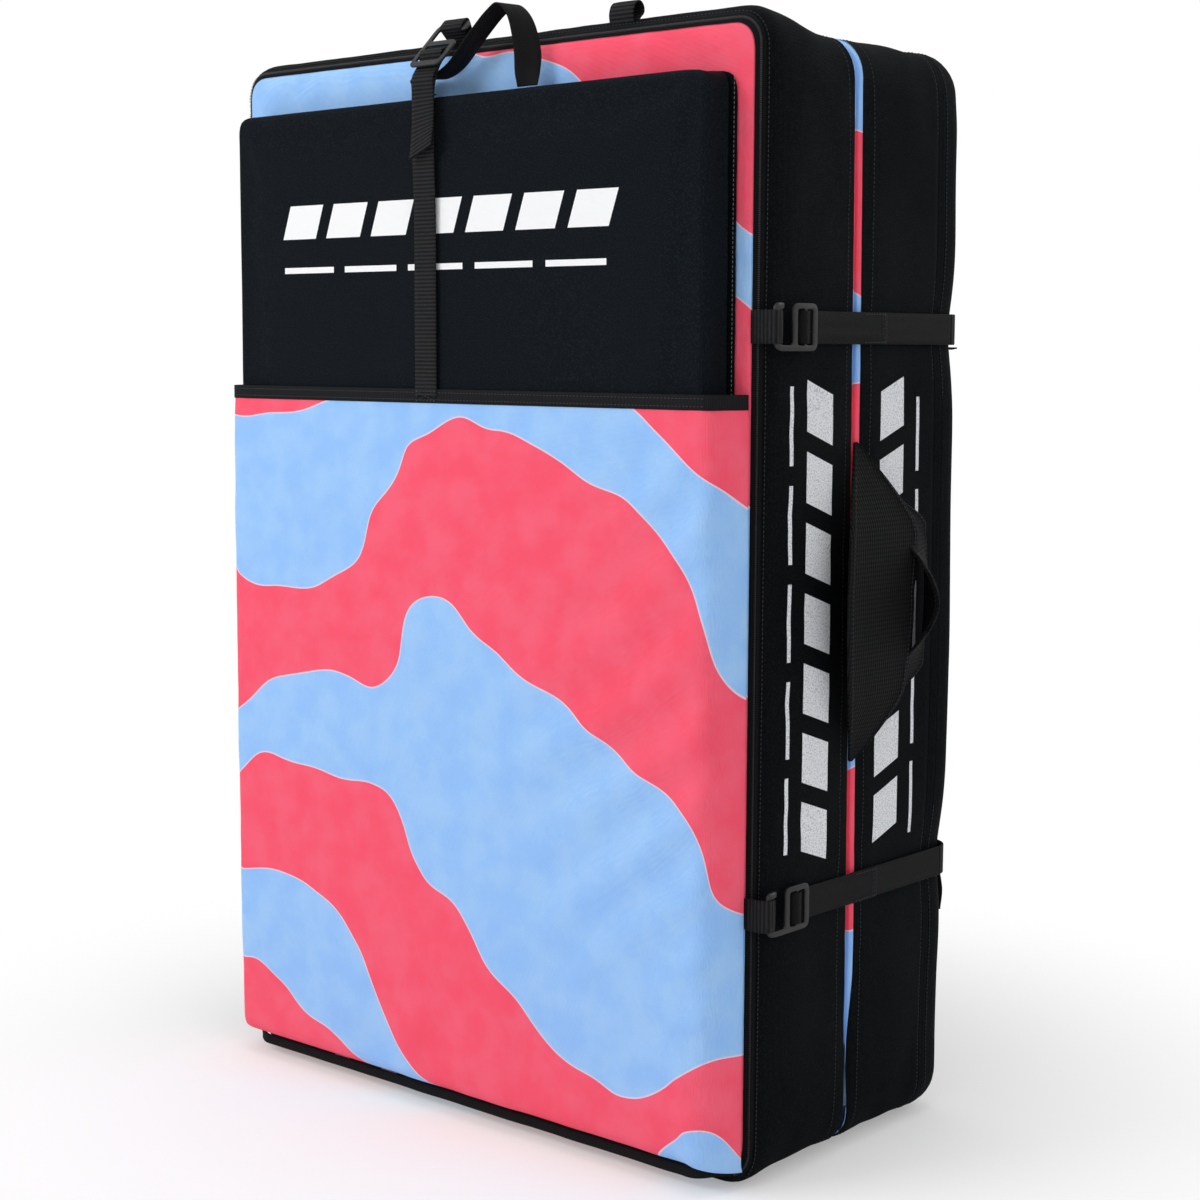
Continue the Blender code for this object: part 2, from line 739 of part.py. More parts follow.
def build_grab_handle(name, parent, side, low, high, bow, shift, twist, crest_power):
    # A broad soft band that narrows to its sewn ends beside the fold gap.
    tip_x = side_x + handle_stand_off
    tip_y = side * (fold_gap / 2 + landing_edge_radius)
    axis = add_axis(name + "_axis", (tip_x, tip_y, (low + high) / 2), parent)
    half_width = handle_width / 2
    front_mid = (bow + half_width * sin(twist), shift - half_width * cos(twist))
    back_mid = (bow - half_width * sin(twist), shift + half_width * cos(twist))
    tip_half = Vector((0, handle_tip_width / 2, 0))
    steps = 12
    sections = []
    for i in range(steps + 1):
        share = i / steps
        swell = sin(pi * share)
        full = min(1, swell / sin(pi * handle_taper_share))
        tip = Vector((tip_x, tip_y, low + (high - low) * share))
        narrow = tip_half * (1 - full)
        front = tip + Vector((front_mid[0] * swell ** crest_power, front_mid[1] * full, 0)) - narrow
        back = tip + Vector((back_mid[0] * swell, back_mid[1] * full, 0)) + narrow
        sections.append(((front + back) / 2, (back - front) / 2))
    strip(name, sections, handle_thickness, axis, black_fabric, 0.75)


build_grab_handle("front_handle", origin, -1, handle_low, handle_high, front_handle_bow,
                  front_handle_shift, 0, front_crest_power)
build_grab_handle("rear_handle", fold, 1, handle_low + rear_handle_inset, handle_high - rear_handle_inset,
                  rear_handle_bow, rear_handle_shift, rear_handle_twist, rear_crest_power)


def build_zip_slider(side, x, away):
    # A slider on the zip along the bottom front edge, with its pull lying along the zip.
    inset, depth = edge_point(slider_angle, seam_gap + slider_height / 2)
    outward = Vector((0, -cos(slider_angle), -sin(slider_angle)))
    place = Vector((x, -half_depth + depth, inset))
    axis = add_axis(side + "_slider_axis", place, origin)
    bm = bmesh.new()
    bmesh.ops.create_cube(bm, size=1)
    bmesh.ops.scale(bm, vec=(slider_length, slider_width, slider_height), verts=bm.verts)
    bevel_edges(bm, bm.edges[:], slider_bevel, 1)
    slider = add_mesh(side + "_zip_slider", bm, axis)
    slider.matrix_basis = frame_at(place, (away, 0, 0), outward)
    set_finish(slider, black_metal, 0.4, 0.6)

    lift = slider_height / 2 + seam_gap + pull_thickness / 2
    pivot_place = place + outward * lift
    pivot = add_axis(side + "_pull_axis", pivot_place, axis)
    frame = frame_at(pivot_place, (away, 0, 0), outward)
    body = rectangle((pull_length - pull_thickness) / 2, 0, pull_length, pull_width)
    opening = rectangle(pull_length - pull_hole_inset, 0, pull_hole_length, pull_hole)
    outline = round_outline(body, pull_width * pull_round_share)
    hole = round_outline(opening, pull_hole * pull_round_share, 2)
    plate(side + "_zip_pull", [outline, hole], pull_thickness, frame, pivot, (bright_metal, 0.3, 1.0))


build_zip_slider("left", left_slider_x, 1)
build_zip_slider("right", right_slider_x, -1)


def build_harness():
    face = rear_depth + seam_gap
    edge = yoke_thickness * sheet_edge_share
    yoke = rounded_block((yoke_width, yoke_thickness, yoke_height), yoke_corner, edge, edge, 1)
    yoke = add_mesh("harness_yoke", yoke, fold)
    yoke.location = (0, face + yoke_thickness / 2, yoke_z)
    set_finish(yoke, black_fabric, 0.8)
    for side, sign in (("left", -1), ("right", 1)):
        build_shoulder_strap(side, sign, face)
        build_waist_belt(side, sign, face)


def build_shoulder_strap(side, sign, face):
    level = face + shoulder_thickness / 2
    pivot = add_axis(side + "_shoulder_axis", (sign * shoulder_top_x, level, shoulder_top_z), fold)
    steps = 8
    sections = []
    for i in range(steps + 1):
        share = i / steps
        x = shoulder_top_x + shoulder_spread * share ** shoulder_curve
        narrow = max(0, share - shoulder_narrow_share) / (1 - shoulder_narrow_share)
        width = shoulder_width - (shoulder_width - buckle_width) * narrow
        centre = Vector((sign * x, level, shoulder_top_z - shoulder_length * share))
        sections.append((centre, Vector((width / 2, 0, 0))))
    pad = strip(side + "_shoulder_pad", sections, shoulder_thickness, pivot, black_fabric, 0.8)
    soften = pad.modifiers.new("soft_edge", "BEVEL")
    soften.width = shoulder_thickness * shoulder_edge_share
    soften.segments = 1
    soften.limit_method = "ANGLE"
    soften.angle_limit = radians(50)

    end = sections[-1][0]
    anchor = Vector((sign * anchor_x, level, anchor_z))
    along = (end - anchor).normalized()
    centre = end - along * (buckle_length / 2 + seam_gap) - Vector((0, 0, buckle_width / 2 * abs(along.x)))
    frame = frame_at(centre, along, (0, 1, 0))
    slot_x = (buckle_bar + buckle_slot) / 2
    outlines = [round_outline(rectangle(0, 0, buckle_length, buckle_width), hook_corner / 2)]
    slot_width = shoulder_webbing_width + 2 * slot_side_slip
    for way in (-1, 1):
        outlines.append(round_outline(rectangle(way * slot_x, 0, buckle_slot, slot_width), slot_corner, 1))
    plate(side + "_ladder_lock", outlines, buckle_thickness, frame, pivot, buckle_plastic)

    offset = buckle_thickness / 2 + layer_gap + strap_thickness / 2
    reach = (centre - anchor).length - anchor_size / 2 - seam_gap
    path = threaded_path(shoulder_tail, reach, buckle_bar, buckle_slot, offset)
    strip(side + "_shoulder_webbing", frame_sections(frame, path, shoulder_webbing_width), strap_thickness,
          fold, black_webbing, 0.7)
    patch_frame = frame_at((anchor.x, face + patch_thickness / 2, anchor.z), along, (0, 1, 0))
    plate(side + "_lower_anchor", [round_outline(rectangle(0, 0, anchor_size, anchor_size), hook_corner)],
          patch_thickness, patch_frame, fold, (black_fabric, 0.8, 0.0))


def build_waist_belt(side, sign, face):
    level = face + patch_thickness + seam_gap + belt_thickness / 2
    root = sign * belt_root_x
    pivot = add_axis(side + "_belt_axis", (root, level, belt_z), fold)
    inward = frame_at((root, level, belt_z), (-sign, 0, 0), (0, 1, 0))
    half = Vector((0, 0, belt_width / 2))
    sections = [(inward @ Vector((a, 0, 0)), half) for a in (0, belt_length / 2, belt_length)]
    strip(side + "_waist_belt", sections, belt_thickness, pivot, black_webbing, 0.7)
    clip_x = belt_length + seam_gap + clip_length / 2
    clip_frame = inward @ Matrix.Translation((clip_x if side == "left" else belt_length + seam_gap, 0, 0))
    if side == "left":
        body = round_outline(rectangle(0, 0, clip_length, belt_width + hook_bar), hook_corner)
        plate("belt_socket", [body], clip_thickness, clip_frame, pivot, buckle_plastic)
    else:
        wide = (belt_width + hook_bar) / 2
        narrow = wide * prong_spread_share
        finger = wide * prong_width_share
        stem = clip_length * prong_stem_share
        tip = stem + prong_length
        outline = [(0, -wide), (stem, -wide), (stem, -narrow), (tip, -narrow), (tip, -narrow + finger),
                   (stem, -narrow + finger), (stem, -finger / 2), (tip, -finger / 2), (tip, finger / 2),
                   (stem, finger / 2), (stem, narrow - finger), (tip, narrow - finger), (tip, narrow),
                   (stem, narrow), (stem, wide), (0, wide)]
        plate("belt_plug", [outline], prong_thickness, clip_frame, pivot, buckle_plastic)
    patch_x = root + sign * (patch_length / 2 - patch_overlap)
    patch = frame_at((patch_x, face + patch_thickness / 2, belt_z), (1, 0, 0), (0, 1, 0))
    plate(side + "_belt_patch", [round_outline(rectangle(0, 0, patch_length, belt_width), hook_corner)],
          patch_thickness, patch, fold, (black_fabric, 0.8, 0.0))


build_harness()
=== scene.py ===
import math

import bmesh
import bpy
from mathutils import Matrix, Vector, noise
from mathutils.bvhtree import BVHTree


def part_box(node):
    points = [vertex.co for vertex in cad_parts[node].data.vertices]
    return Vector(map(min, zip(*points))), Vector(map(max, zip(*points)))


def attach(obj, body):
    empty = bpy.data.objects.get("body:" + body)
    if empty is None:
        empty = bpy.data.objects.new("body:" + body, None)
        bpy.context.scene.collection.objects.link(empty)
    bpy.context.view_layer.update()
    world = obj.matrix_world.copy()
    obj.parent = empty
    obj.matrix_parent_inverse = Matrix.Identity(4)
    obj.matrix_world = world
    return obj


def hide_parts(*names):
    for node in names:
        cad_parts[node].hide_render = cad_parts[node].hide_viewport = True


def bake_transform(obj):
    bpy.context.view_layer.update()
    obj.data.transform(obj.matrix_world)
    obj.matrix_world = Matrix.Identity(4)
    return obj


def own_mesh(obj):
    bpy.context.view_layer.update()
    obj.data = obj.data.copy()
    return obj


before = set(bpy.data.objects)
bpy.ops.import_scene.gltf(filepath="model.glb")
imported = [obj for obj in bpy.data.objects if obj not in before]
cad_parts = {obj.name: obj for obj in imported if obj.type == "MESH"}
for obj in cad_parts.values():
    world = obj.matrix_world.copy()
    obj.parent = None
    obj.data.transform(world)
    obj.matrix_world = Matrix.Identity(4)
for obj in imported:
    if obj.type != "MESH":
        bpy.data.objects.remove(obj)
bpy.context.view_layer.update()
scene = bpy.context.scene
scene.view_settings.view_transform = "Standard"

pad = {"width": 0.711, "height": 1.077, "halfThickness": 0.140, "gap": 0.014, "corner": 0.035,
       "outerEdge": 0.025, "landingEdge": 0.008, "tape": 0.0093, "tapeStart": 0.0018, "tapeEnd": 0.0075,
       "seamGap": 0.0003, "grid": 0.0125, "backPadding": 0.032, "backLip": 0.040}
sideX = pad["width"] / 2
padHeight = pad["height"]
halfDepth = pad["gap"] / 2 + pad["halfThickness"]
rearDepth = halfDepth + pad["backPadding"]

# The frame's place of the pad's middle: between the side bands' sides, and midway in the fold gap
bandLow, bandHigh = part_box("front_side_band")
shift = Vector(((bandLow.x + bandHigh.x) / 2,
                (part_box("front_landing_panel")[1].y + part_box("rear_landing_panel")[0].y) / 2, 0))

made = []


def keep(obj, body, node=None, *others):
    # Notes what a piece rides on and the nodes it stands for.
    made.append((obj, body, node, others))


def meshPiece(name, verts, faces, material, smooth=True):
    mesh = bpy.data.meshes.new(name)
    mesh.from_pydata([tuple(v) for v in verts], [], faces)
    mesh.update()
    return linkPiece(name, mesh, material, smooth)


def bmeshPiece(name, bm, material, smooth=True):
    mesh = bpy.data.meshes.new(name)
    bm.to_mesh(mesh)
    bm.free()
    return linkPiece(name, mesh, material, smooth)


def linkPiece(name, mesh, material, smooth=True):
    obj = bpy.data.objects.new(name, mesh)
    scene.collection.objects.link(obj)
    if material:
        mesh.materials.clear()
        mesh.materials.append(material)
    if smooth:
        mesh.shade_smooth()
    return obj


def bakeModifiers(obj):
    # Turns what the modifiers make into the object's own mesh
    depsgraph = bpy.context.evaluated_depsgraph_get()
    mesh = bpy.data.meshes.new_from_object(obj.evaluated_get(depsgraph))
    obj.modifiers.clear()
    old, obj.data = obj.data, mesh
    bpy.data.meshes.remove(old)
    return obj


def smoothStep(low, high, value):
    t = min(1, max(0, (value - low) / (high - low)))
    return t * t * (3 - 2 * t)


def bell(value, middle, width):
    return math.exp(-((value - middle) / width) ** 2)


def rough(x, y, z, scale, seed=0):
    return noise.noise(Vector((x * scale + seed * 7.3, y * scale - seed * 3.1, z * scale + seed * 1.7)))


def tone(red, green, blue):
    # A screen colour, 0 to 255, as the linear colour the shaders want
    return tuple(((c / 255 + 0.055) / 1.055) ** 2.4 if c > 10 else c / 255 / 12.92
                 for c in (red, green, blue)) + (1,)


class Wire:
    # One output socket. Sums on it add Math nodes; put() adds any other node.
    def __init__(self, tree, socket=None):
        self.tree, self.socket = tree, socket

    def put(self, kind, settings=(), values=(), out=0):
        node = self.tree.nodes.new(kind)
        for name, value in dict(settings).items():
            if name == "stops":
                while len(node.color_ramp.elements) < len(value):
                    node.color_ramp.elements.new(0.5)
                for stop, (place, colour) in zip(node.color_ramp.elements, value):
                    stop.position, stop.color = place, colour
            else:
                setattr(node, name, value)
        for key, value in dict(values).items():
            if isinstance(value, Wire):
                self.tree.links.new(value.socket, node.inputs[key])
            else:
                node.inputs[key].default_value = value
        return Wire(self.tree, node.outputs[out])

    def sum(self, operation, *others):
        return self.put("ShaderNodeMath", {"operation": operation}, dict(enumerate((self,) + others)))

    def mapped(self, low, high, toLow=0.0, toHigh=1.0):
        return self.put("ShaderNodeMapRange", {"interpolation_type": "SMOOTHSTEP"},
                        {0: self, 1: low, 2: high, 3: toLow, 4: toHigh})

    def parts(self):
        node = self.tree.nodes.new("ShaderNodeSeparateXYZ")
        self.tree.links.new(self.socket, node.inputs[0])
        return [Wire(self.tree, out) for out in node.outputs]

    def stretched(self, x, y, z):
        return self.put("ShaderNodeVectorMath", {"operation": "MULTIPLY"}, {0: self, 1: (x, y, z)})

    def colours(self, first, second):
        # Where the wire is 0 the first colour shows, where it is 1 the second
        return self.put("ShaderNodeMix", {"data_type": "RGBA"}, {0: self, 6: first, 7: second}, 2)

    def cloud(self, scale, detail=2.0, distortion=0.0):
        return self.put("ShaderNodeTexNoise", {},
                        {"Vector": self, "Scale": scale, "Detail": detail, "Distortion": distortion})

    def __add__(self, other):
        return self.sum("ADD", other)

    __radd__ = __add__

    def __mul__(self, other):
        return self.sum("MULTIPLY", other)

    __rmul__ = __mul__

    def __sub__(self, other):
        return self.sum("SUBTRACT", other)

    def __rsub__(self, other):
        return self.put("ShaderNodeMath", {"operation": "SUBTRACT"}, {0: other, 1: self})

    def __truediv__(self, other):
        return self.sum("DIVIDE", other)

    def __rtruediv__(self, other):
        return self.put("ShaderNodeMath", {"operation": "DIVIDE"}, {0: other, 1: self})

    def __lt__(self, other):
        return self.sum("LESS_THAN", other)

    def __gt__(self, other):
        return self.sum("GREATER_THAN", other)


def newFinish(name, **constants):
    # A material with a plain shader whose constants are set on its own sockets
    material = bpy.data.materials.new(name)
    material.use_nodes = True
    tree = material.node_tree
    tree.nodes.clear()
    shader = tree.nodes.new("ShaderNodeBsdfPrincipled")
    output = tree.nodes.new("ShaderNodeOutputMaterial")
    tree.links.new(shader.outputs[0], output.inputs[0])
    for key, value in constants.items():
        shader.inputs[key.replace("_", " ")].default_value = value
    return material, Wire(tree), shader


def feed(wire, shader, key):
    wire.tree.links.new(wire.socket, shader.inputs[key])


def padCoords(wire):
    # Places on a piece, counted from the middle of the pad
    coords = wire.put("ShaderNodeTexCoord", out=3)
    return coords.put("ShaderNodeVectorMath", {"operation": "SUBTRACT"}, {0: coords, 1: tuple(shift)})


def uvCoords(wire):
    return wire.put("ShaderNodeTexCoord", out=2)


def bumped(height, shader, distance, strength=1.0):
    bump = height.put("ShaderNodeBump", {}, {"Height": height, "Distance": distance, "Strength": strength})
    feed(bump, shader, "Normal")


def wovenHeight(place, pitch):
    # Threads over and under each other, on a face that looks any way
    x, y, z = place.parts()
    turn = 2 * math.pi / pitch
    threads = (x * turn).sum("SINE") + (y * turn).sum("SINE") + (z * turn).sum("SINE")
    return threads * 0.25 + place.cloud(1400, 1) * 0.5


cloth = {"outline": (233, 214, 232), "weave": 0.0011, "flow": 0.30, "lean": -14, "line": 0.0007, "red": 0.10}


def flowField(place):
    # Long rounded flows: one colour where the field is above 0, the other below
    z = place.parts()[2]
    bend = (place.cloud(2.2, 0.0) - 0.5) * 9.5 + (place.cloud(6.5, 1.0) - 0.5) * 3.4
    return ((z * (2 * math.pi / cloth["flow"]) + bend).sum("SINE") * 0.5
            + (place.stretched(1.0, 1.0, 1.5).cloud(3.4, 0.0) - 0.5) * 1.5 - cloth["red"])


def printedFinish(name, seed):
    # Two soft colours in long rounded flows with a thin pale outline
    material, wire, shader = newFinish(name, Roughness=0.82, Specular_IOR_Level=0.15)
    place = padCoords(wire)
    turned = place.put("ShaderNodeVectorRotate", {"rotation_type": "EULER_XYZ"},
                       {"Vector": place, "Rotation": (0.0, math.radians(cloth["lean"]), 0.0)})
    moved = turned.put("ShaderNodeVectorMath", {"operation": "ADD"}, {0: turned, 1: (seed, 0.0, seed * 0.7)})
    field = flowField(moved)
    # The field's slope, from steps aside, gives the outline the same width everywhere
    step, slope = 0.002, 0.000001
    for aside in ((step, 0.0, 0.0), (0.0, 0.0, step)):
        beside = moved.put("ShaderNodeVectorMath", {"operation": "ADD"}, {0: moved, 1: aside})
        rise = (flowField(beside) - field) / step
        slope = rise * rise + slope
    blue = field.mapped(-0.003, 0.003)
    away = field.sum("ABSOLUTE") / slope.sum("SQRT")
    edge = away.mapped(cloth["line"] * 0.7, cloth["line"] * 1.3, 1.0, 0.0)
    mottle = place.cloud(30, 4).mapped(0.3, 0.7)
    fibre = place.cloud(900, 1).mapped(0.35, 0.65)
    red = mottle.colours(tone(255, 84, 109), tone(255, 98, 122))
    sky = mottle.colours(tone(150, 198, 255), tone(163, 207, 255))
    colour = edge.colours(blue.colours(red, sky), tone(*cloth["outline"]))
    feed((fibre * 0.07).colours(colour, tone(140, 140, 170)), shader, "Base Color")
    bumped(wovenHeight(place, cloth["weave"]) + place.cloud(38, 2) * 1.2, shader, 0.00035)
    return material


canvas = {"black": (3, 5, 7), "fibre": (17, 21, 24), "silver": (232, 234, 238), "shade": (186, 189, 196),
          "white": (250, 251, 253), "weave": 0.0013}


def slantedBars(along, across, first, last, low, high, count, fill, slant):
    # A row of plain slanted bars: the share of each step that is printed is fill
    inside = (across > low) * (across < high)
    turn = (along + (across - low) * slant - first) / ((last - first) / count)
    return inside * (turn.sum("FRACT") < fill) * (turn > 0) * (turn < count)


def canvasFinish(name, bars=None, paint=("silver", "shade"), weave=None, lift=(0, 0, 0)):
    material, wire, shader = newFinish(name, Specular_IOR_Level=0.05)
    place = padCoords(wire)
    weave = weave or canvas["weave"]
    speckle = place.cloud(650, 2).mapped(0.46, 0.66)
    wear = place.cloud(9, 4).mapped(0.35, 0.75)
    dark, light = (tone(*(c + up for c, up in zip(canvas[key], lift))) for key in ("black", "fibre"))
    colour = (speckle * 0.75 + wear * 0.12).colours(dark, light)
    roughness = 0.72 + wear * 0.14
    if bars:
        printed = bars(place)
        ink = speckle.colours(tone(*canvas[paint[0]]), tone(*canvas[paint[1]]))
        colour = printed.colours(colour, ink)
        roughness = roughness - printed * 0.22
    feed(colour, shader, "Base Color")
    feed(roughness, shader, "Roughness")
    bumped(wovenHeight(place, weave) + place.cloud(45, 2), shader, 0.0004)
    return material


# Each row of bars: first and last along it, low and high across it, how many, their share, their slant
barRows = {"side": ((0.312, 0.766, -0.082, -0.042, 7, 0.72, 0.35),
                    (0.312, 0.760, -0.107, -0.102, 5, 0.80, 0.0),
                    (0.300, 0.754, 0.036, 0.076, 7, 0.72, -0.35),
                    (0.300, 0.748, 0.098, 0.103, 5, 0.80, 0.0)),
           "front": ((-0.241, 0.223, 0.886, 0.920, 7, 0.76, -0.35),
                     (-0.239, 0.221, 0.851, 0.857, 5, 0.82, 0.0)),
           "sideReach": 0.02, "frontReach": -0.17}


def barMarks(along, across, rows, inside):
    marks = [slantedBars(along, across, *row) for row in rows]
    return (sum(marks[1:], marks[0]) * inside).sum("MINIMUM", 1.0)


def sideBars(place):
    # Bars up the open side: a bold row and a thin row on each half
    x, y, z = place.parts()
    return barMarks(z, y, barRows["side"], x > sideX - barRows["sideReach"])


def frontBars(place):
    # The same bars across the top of the small pad
    x, y, z = place.parts()
    return barMarks(x, z, barRows["front"], y < barRows["frontReach"])


def webbingFinish(name, colour, rib, ribDepth=0.0003, gloss=0.55, twill=False, lengthwise=False, crestHighlight=14):
    # Ribs across a band, along it, or a herringbone, by the length along it and the way across it, with
    # painted shade in the grooves and a painted highlight on the crests
    material, wire, shader = newFinish(name, Specular_IOR_Level=0.12)
    along, across, other = uvCoords(wire).parts()
    place = padCoords(wire)
    turn = 2 * math.pi / rib
    if twill:
        # Chevrons: the ribs lean one way and then the other across the width
        lean = (across * (1 / 0.006)).sum("PINGPONG", 1.0) * 0.006
        height = ((along + lean) * turn).sum("SINE") * 0.5 + 0.5
    elif lengthwise:
        height = (across * turn).sum("SINE") * 0.4 + 0.4 + (along * (turn * 0.8)).sum("SINE") * 0.2
    else:
        height = 0.5 - (along * turn).sum("COSINE") * (0.4 + (across * (turn * 2.2)).sum("SINE") * 0.1)
    fibre = place.cloud(1300, 2).mapped(0.35, 0.7)
    # Painted shade and highlight: the colour is darker in the grooves between ribs and lighter on their
    # crests, with some fibre speckle mixed in
    dark, light = tone(*(c * 0.5 for c in colour)), tone(*(c + crestHighlight for c in colour))
    feed((height * 0.75 + fibre * 0.25).colours(dark, light), shader, "Base Color")
    feed(gloss + (1 - height) * 0.25, shader, "Roughness")
    bumped(height + fibre * 0.25, shader, ribDepth)
    return material


def hardFinish(name, colour, roughness, metallic=0.0, grain=600, lift=0.00008, wear=None):
    # Painted metal, bare metal or moulded plastic with fine grain and rubbed places
    material, wire, shader = newFinish(name, Metallic=metallic, Specular_IOR_Level=0.5)
    place = padCoords(wire)
    fine = place.cloud(grain, 2)
    patches = place.cloud(60, 3).mapped(0.45, 0.75)
    colour = patches.colours(tone(*colour), tone(*(min(255, c + 10) for c in colour)))
    if wear:
        edges = wire.put("ShaderNodeNewGeometry", out=7).mapped(0.53, 0.62)
        rubbed = edges * place.cloud(300, 3).mapped(0.5, 0.6)
        colour = rubbed.colours(colour, tone(*wear))
    feed(colour, shader, "Base Color")
    feed(roughness + patches * 0.12, shader, "Roughness")
    bumped(fine, shader, lift)
    return material


def threadFinish(name, colour):
    material, wire, shader = newFinish(name, Specular_IOR_Level=0.4)
    place = padCoords(wire)
    ply = place.cloud(2200, 1).mapped(0.3, 0.7)
    feed(ply.colours(tone(*colour), tone(*(min(255, c + 26) for c in colour))), shader, "Base Color")
    feed(0.5 + ply * 0.2, shader, "Roughness")
    bumped(ply, shader, 0.0001)
    return material


def toothFinish(name, colour):
    material, wire, shader = newFinish(name, Specular_IOR_Level=0.5)
    place = padCoords(wire)
    feed(place.cloud(800, 2).colours(tone(*colour), tone(*(c + 20 for c in colour))), shader, "Base Color")
    feed(0.35 + place.cloud(300, 1) * 0.2, shader, "Roughness")
    return material


finishes = {
    "print": printedFinish("printedCloth", 3.1),
    "landingPrint": printedFinish("landingCloth", 8.4),
    "side": canvasFinish("sideCanvas", sideBars),
    "back": canvasFinish("backCanvas"),
    "small": canvasFinish("smallPadCanvas", frontBars, ("white", "white"), 0.0011, (9, 12, 15)),
    "flange": canvasFinish("flangeCanvas", weave=0.0011),
    "tape": webbingFinish("zipTape", (12, 13, 16), 0.0014, 0.0002, 0.65),
    "binding": webbingFinish("bindingTape", (15, 16, 20), 0.0016, 0.0003, 0.6),
    "webbing": webbingFinish("ribbedWebbing", (9, 10, 12), 0.0038, 0.0010, 0.5, crestHighlight=34),
    "twill": webbingFinish("herringboneWebbing", (7, 8, 10), 0.0026, 0.0003, 0.58, True),
    "handle": webbingFinish("handleCloth", (6, 7, 9), 0.0034, 0.0006, 0.66, False, True, 16),
    "mesh": canvasFinish("paddedCloth", weave=0.002),
    "hook": hardFinish("paintedHook", (20, 20, 22), 0.45, 0.25, wear=(96, 96, 98)),
    "buckle": hardFinish("mouldedBuckle", (16, 16, 18), 0.42, 0.0, 900, 0.00005),
    "bright": hardFinish("brightMetal", (196, 198, 202), 0.28, 1.0, 400, 0.00003),
    "slider": hardFinish("sliderMetal", (30, 30, 33), 0.35, 0.7, 700, 0.00004, (120, 120, 124)),
    "thread": threadFinish("blackThread", (26, 28, 33)),
    "paleThread": threadFinish("greyThread", (92, 96, 104)),
    "teeth": toothFinish("coilTeeth", (26, 26, 30)),
}
print("stage: finishes made")


# Padded blocks


def ringPoints(halfW, halfH, radius, countX, countZ):
    # A rounded rectangle seen along Y, anticlockwise from the middle of its lower left corner
    arc = radius * math.pi / 4
    points = []
    sides = [(halfW, halfH, countX, lambda a, o: (a, -o)), (halfH, halfW, countZ, lambda a, o: (o, a)),
             (halfW, halfH, countX, lambda a, o: (-a, o)), (halfH, halfW, countZ, lambda a, o: (-o, -a))]
    for half, out, count, turn in sides:
        straight = 2 * (half - radius)
        total = straight + 2 * arc
        for i in range(count):
            s = total * i / count
            if s < arc:
                angle = math.pi / 4 - s / radius
                a, o = -(half - radius) - radius * math.sin(angle), out - radius + radius * math.cos(angle)
            elif s <= arc + straight:
                a, o = -(half - radius) + s - arc, out
            else:
                angle = (s - arc - straight) / radius
                a, o = half - radius + radius * math.sin(angle), out - radius + radius * math.cos(angle)
            points.append(turn(a, o))
    return points


def paddedBlock(halfW, halfH, corner, rings, countX, countZ, midZ):
    # A closed block: a face grid, rings back through its depth, and a face grid. rings: inset, depth, region
    verts, faces, regions, ringIndex = [], [], [], []
    for inset, depth, region in rings:
        ringIndex.append(list(range(len(verts), len(verts) + 2 * (countX + countZ))))
        for x, z in ringPoints(halfW - inset, halfH - inset, max(corner - inset, 0.003), countX, countZ):
            verts.append(Vector((x, depth, z + midZ)))
    total = 2 * (countX + countZ)
    for here, (first, second) in enumerate(zip(ringIndex, ringIndex[1:])):
        for j in range(total):
            k = (j + 1) % total
            faces.append((first[j], second[j], second[k], first[k]))
            regions.append(rings[here + 1][2])
    for ring, flip in ((ringIndex[0], False), (ringIndex[-1], True)):
        def edge(i, k):
            if k == 0:
                return ring[i]
            if i == countX:
                return ring[countX + k]
            if k == countZ:
                return ring[countX + countZ + countX - i]
            return ring[(2 * countX + countZ + countZ - k) % total]
        depth = verts[ring[0]].y
        grid = {}
        for i in range(countX + 1):
            for k in range(countZ + 1):
                if i in (0, countX) or k in (0, countZ):
                    grid[i, k] = edge(i, k)
                    continue
                u, v = i / countX, k / countZ
                low, high = verts[edge(i, 0)], verts[edge(i, countZ)]
                left, right = verts[edge(0, k)], verts[edge(countX, k)]
                place = low * (1 - v) + high * v + left * (1 - u) + right * u
                place -= verts[edge(0, 0)] * (1 - u) * (1 - v) + verts[edge(countX, 0)] * u * (1 - v)
                place -= verts[edge(0, countZ)] * (1 - u) * v + verts[edge(countX, countZ)] * u * v
                grid[i, k] = len(verts)
                verts.append(Vector((place.x, depth, place.z)))
        region = rings[-1 if flip else 0][2]
        for i in range(countX):
            for k in range(countZ):
                quad = (grid[i, k], grid[i + 1, k], grid[i + 1, k + 1], grid[i, k + 1])
                faces.append(quad[::-1] if flip else quad)
                regions.append(region)
    return verts, faces, regions, ringIndex


def pointNormals(verts, faces):
    normals = [Vector() for v in verts]
    for face in faces:
        a, b, c, d = (verts[i] for i in face)
        across = (c - a).cross(d - b)
        for i in face:
            normals[i] += across
    return [n.normalized() for n in normals]


simulation = {"pressure": 4, "frames": 20, "cap": 0.006}


